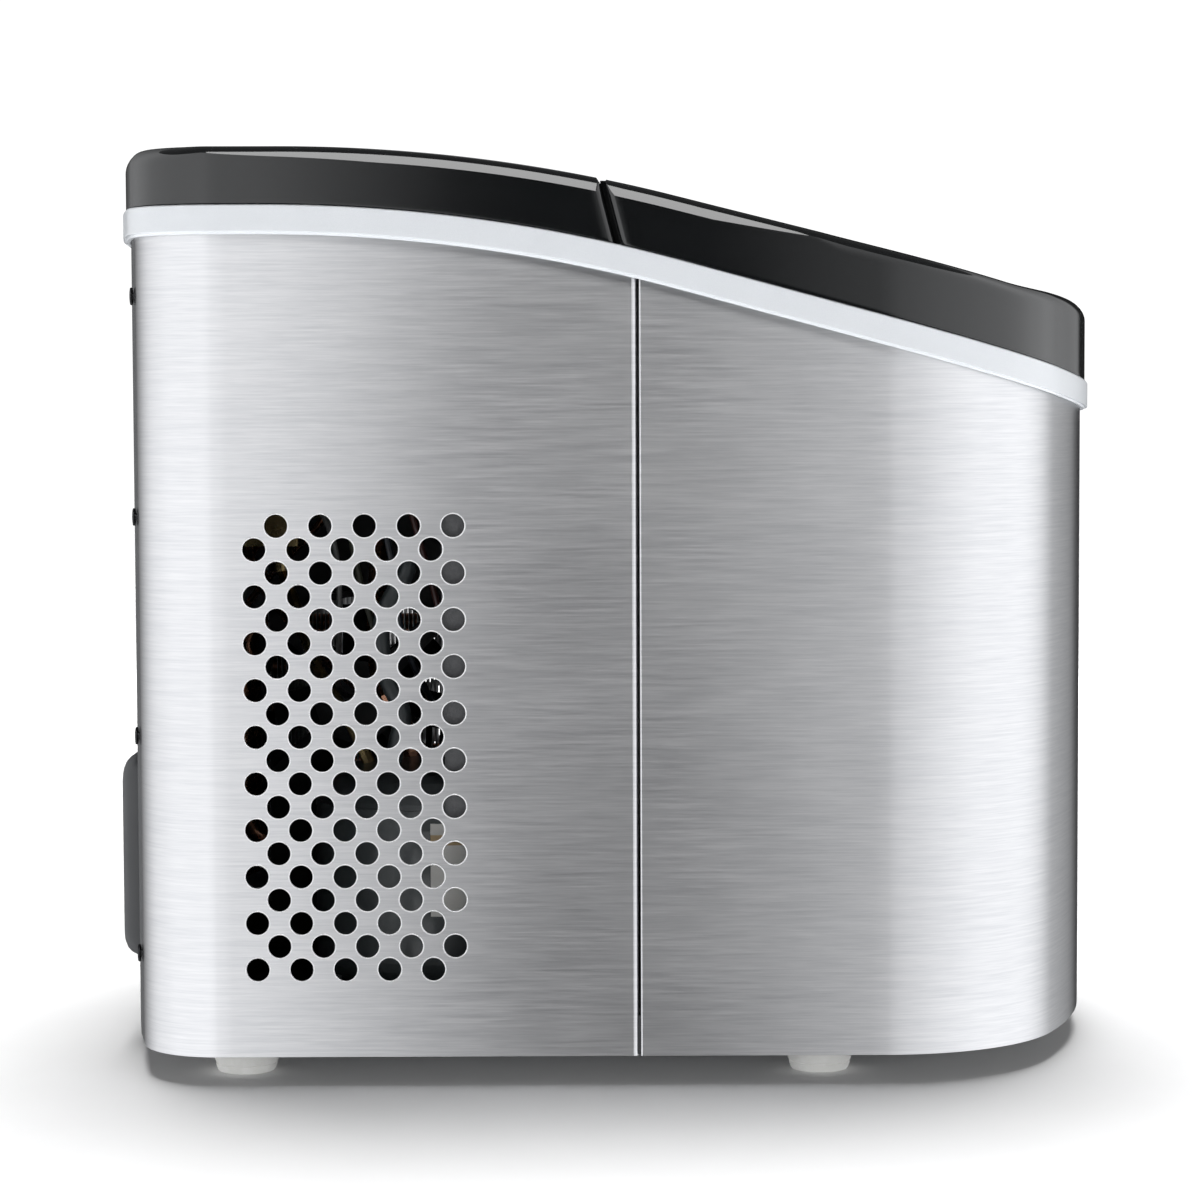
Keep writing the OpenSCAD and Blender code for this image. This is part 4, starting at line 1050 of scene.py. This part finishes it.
def wiring():
    """Loose leads and a sleeved line between the boards, the compressor and the fan. Their colours are painted shade:
    all are darkened, the white lead too, for the shade inside the casing.
    """
    # painted shade: each colour below is darkened for the shade inside the casing
    lead("lead_brown", (0.035, 0.006, 0.005), 1.3,
         [(-40, 140, 326), (-92, 128, 300), (-124, 92, 262), (-126, 70, 196), (-122, 62, 160), (-96, 60, 140),
          (-48, 62, 128), (-22, 66, 96)])
    lead("lead_blue", (0.008, 0.012, 0.02), 1.3,
         [(-34, 140, 326), (-90, 132, 296), (-121, 98, 250), (-124, 84, 200), (-124, 80, 170), (-100, 70, 142),
          (-50, 68, 130), (-20, 72, 96)])
    lead("lead_earth", (0.02, 0.022, 0.012), 1.3,
         [(-28, 144, 326), (-86, 138, 290), (-117, 108, 244), (-121, 96, 190), (-116, 84, 150), (-90, 78, 134),
          (-46, 74, 128), (-16, 78, 96)])
    lead("lead_white", (0.06, 0.062, 0.062), 1.1,
         [(-22, 148, 326), (-80, 146, 286), (-112, 122, 240), (-124, 106, 206), (-122, 104, 178), (-86, 108, 150),
          (0, 112, 136), (50, 111, 130)])
    lead("sleeved_line", (0.035, 0.043, 0.047), 3.4,
         [(-122, 76, 206), (-127, 78, 194), (-128, 84, 184), (-126, 88, 172), (-124, 86, 154), (-124, 80, 140),
          (-122, 82, 130), (-116, 84, 121)], sides=14)


# ----- the CAD nodes that stay -----

SOFT_EDGE = 0.35
SOFTENED = ("control_strip", "display_lens", "button_power", "button_timer", "button_select", "lid_window",
            "terminal_cover", "ice_basket", "drain_cap", "drain_spout", "tray_motor", "pump_body")


def soften(thing):
    """Rounds a carried-over node's edges slightly, without touching its own mesh."""
    thing.modifiers.new("weld", "WELD").merge_threshold = 1e-6
    bevel = thing.modifiers.new("edges", "BEVEL")
    bevel.width = SOFT_EDGE * MM
    bevel.segments = 2
    bevel.limit_method = "ANGLE"
    bevel.angle_limit = math.radians(30)
    bevel.harden_normals = True


def dress_cad_nodes():
    slots = {row["node"]: row["material_slot"] for row in frame["record"]["subparts"]}
    for node, thing in frame["nodes"].items():
        for slot in thing.material_slots:
            slot.material = MATERIALS[slots[node]]
        if node in SOFTENED:
            soften(thing)


# ----- stage -----

TENT_R = 1.75
TENT_LOW, TENT_TOP = -1.9, 2.1
# the light tent's brightness: degrees from the camera's side round towards the front, and radiance
TENT_LIGHT = [(0, 0.04), (3.5, 0.05), (5.5, 0.35), (9, 0.8), (14, 1.0), (36, 1.35), (60, 1.6), (96, 1.7),
              (112, 1.35), (126, 0.75), (138, 0.45), (147, 0.36), (150, 0.02), (172.5, 0.02), (176, 0.5),
              (184.5, 0.5), (188, 0.02), (196, 0.02), (226, 0.5), (248, 1.1), (262, 1.4), (290, 1.6), (338, 1.66),
              (345, 1.62), (350, 1.33), (353.5, 0.55), (355.5, 0.15), (358, 0.03), (360, 0.04)]
TENT_FULL = 3.0
TENT_TINT = (0.985, 0.995, 1.01)
CEILING = 0.15
STRIP_AT, STRIP_SIZE, STRIP_RISE = (-0.9, -0.02, 1.41), (0.68, 0.43), 54.7
STRIP_LIGHT = 7.0
FILL_R, FILL_TOP, FILL_LIGHT = 1.65, 0.42, 2.2
SUN_TILT, SUN_WIDTH, SUN_LIGHT = 18, 36, 3.9
SURROUND = 1.1
FLOOR_R = 9
STAGE_SIDES = 128


def emitter(name, strength, colour=None):
    """A plain light-giving material; colour adds the nodes for a light that varies."""
    material = bpy.data.materials.new(name)
    material.use_nodes = True
    nodes, links = material.node_tree.nodes, material.node_tree.links
    nodes.remove(nodes["Principled BSDF"])
    light = nodes.new("ShaderNodeEmission")
    light.inputs["Strength"].default_value = strength
    links.new(light.outputs["Emission"], nodes["Material Output"].inputs["Surface"])
    if colour:
        colour(nodes, links, light.inputs["Color"])
    return material


def tent_colour(nodes, links, target):
    """Brightness that follows the direction round the tent."""
    place = nodes.new("ShaderNodeTexCoord").outputs["Object"]
    angle = nodes.new("ShaderNodeTexGradient")
    angle.gradient_type = "RADIAL"
    links.new(place, angle.inputs["Vector"])
    ramp = nodes.new("ShaderNodeValToRGB")
    links.new(angle.outputs["Fac"], ramp.inputs["Fac"])
    links.new(ramp.outputs["Color"], target)
    stops = ramp.color_ramp.elements
    while len(stops) < len(TENT_LIGHT):
        stops.new(0.5)
    for stop, (degrees, _) in zip(stops, TENT_LIGHT):
        stop.position = degrees / 360
    for stop, (_, light) in zip(stops, TENT_LIGHT):
        stop.color = (*(light / TENT_FULL * tint for tint in TENT_TINT), 1)


def stage_piece(shape, name, material, seen_by):
    """A light-giving surface that only diffuse or only glossy rays see."""
    thing = shape.object(name)
    thing.data.materials.append(material)
    thing.visible_camera = False
    thing.visible_shadow = False
    thing.visible_diffuse = seen_by == "diffuse"
    thing.visible_glossy = thing.visible_transmission = seen_by == "glossy"


def stage_ring(shape, r, z):
    """A ring of points of that radius and height in metres."""
    return shape.points(np.column_stack([*circle(0, 0, r, STAGE_SIDES), np.full(STAGE_SIDES, z)]) / MM)


def round_wall(r, z0, z1):
    shape = Shape()
    shape.band(stage_ring(shape, r, z0), stage_ring(shape, r, z1))
    return shape


def disc(r, z):
    shape = Shape()
    shape.faces.append(tuple(stage_ring(shape, r, z)))
    return shape


def add_reflected_lights():
    """A round tent with a ceiling and a high strip for the reflections, and a low wall that fills the shadows."""
    tent = emitter("tent_light", TENT_FULL, tent_colour)
    stage_piece(round_wall(TENT_R, TENT_LOW, TENT_TOP), "tent_wall", tent, "glossy")
    stage_piece(disc(TENT_R, TENT_TOP), "tent_ceiling", emitter("ceiling_light", CEILING), "glossy")
    stage_piece(round_wall(FILL_R, 0, FILL_TOP), "fill_wall", emitter("fill_light", FILL_LIGHT), "diffuse")
    rise = math.radians(STRIP_RISE)
    across = Vector((0, STRIP_SIZE[0] / 2, 0))
    up = Vector((math.sin(rise), 0, math.cos(rise))) * (STRIP_SIZE[1] / 2)
    strip = Shape()
    corners = [Vector(STRIP_AT) + v * up + u * across for u, v in ((-1, -1), (1, -1), (1, 1), (-1, 1))]
    strip.faces.append(tuple(strip.points([c / MM for c in corners])))
    stage_piece(strip, "high_strip", emitter("strip_light", STRIP_LIGHT), "glossy")


def add_floor():
    floor = disc(FLOOR_R, 0).object("floor")
    pale = Look("pale_floor", Roughness=0.85)
    pale.colour(pale.noise(40, 3), (0.9, 0.9, 0.9), (0.93, 0.93, 0.93))
    floor.data.materials.append(MATERIALS["pale_floor"])
    floor.visible_glossy = False


def add_sun_and_surround():
    """A wide soft sun for the floor shadow, and a white world behind everything."""
    data = bpy.data.lights.new("overhead", "SUN")
    data.angle = math.radians(SUN_WIDTH)
    data.energy = SUN_LIGHT
    lamp = bpy.data.objects.new("overhead", data)
    lamp.rotation_euler = (0, math.radians(SUN_TILT), 0)
    lamp.visible_glossy = False
    bpy.context.scene.collection.objects.link(lamp)
    world = bpy.data.worlds.new("surround")
    world.use_nodes = True
    background = world.node_tree.nodes["Background"]
    background.inputs["Color"].default_value = (1, 1, 1, 1)
    background.inputs["Strength"].default_value = SURROUND
    world.cycles_visibility.diffuse = False
    bpy.context.scene.world = world
    bpy.context.scene.view_settings.view_transform = "Standard"


# ----- everything -----

add_camera()
add_reflected_lights()
add_floor()
add_sun_and_surround()
dress_cad_nodes()
side_panel("steel_side_right", "side_panel_right", False)
side_panel("steel_side_left", "side_panel_left", True)
vent_rims("vent_rims_right", False)
vent_rims("vent_rims_left", True)
front_panel()
trim_band()
top_cover()
hinge_ears()
lid()
rear_cowl()
cowl_blades()
for corner in ("front_left", "front_right", "back_left", "back_right"):
    foot("foot_pad_" + corner, "foot_" + corner)
condenser()
wiring()
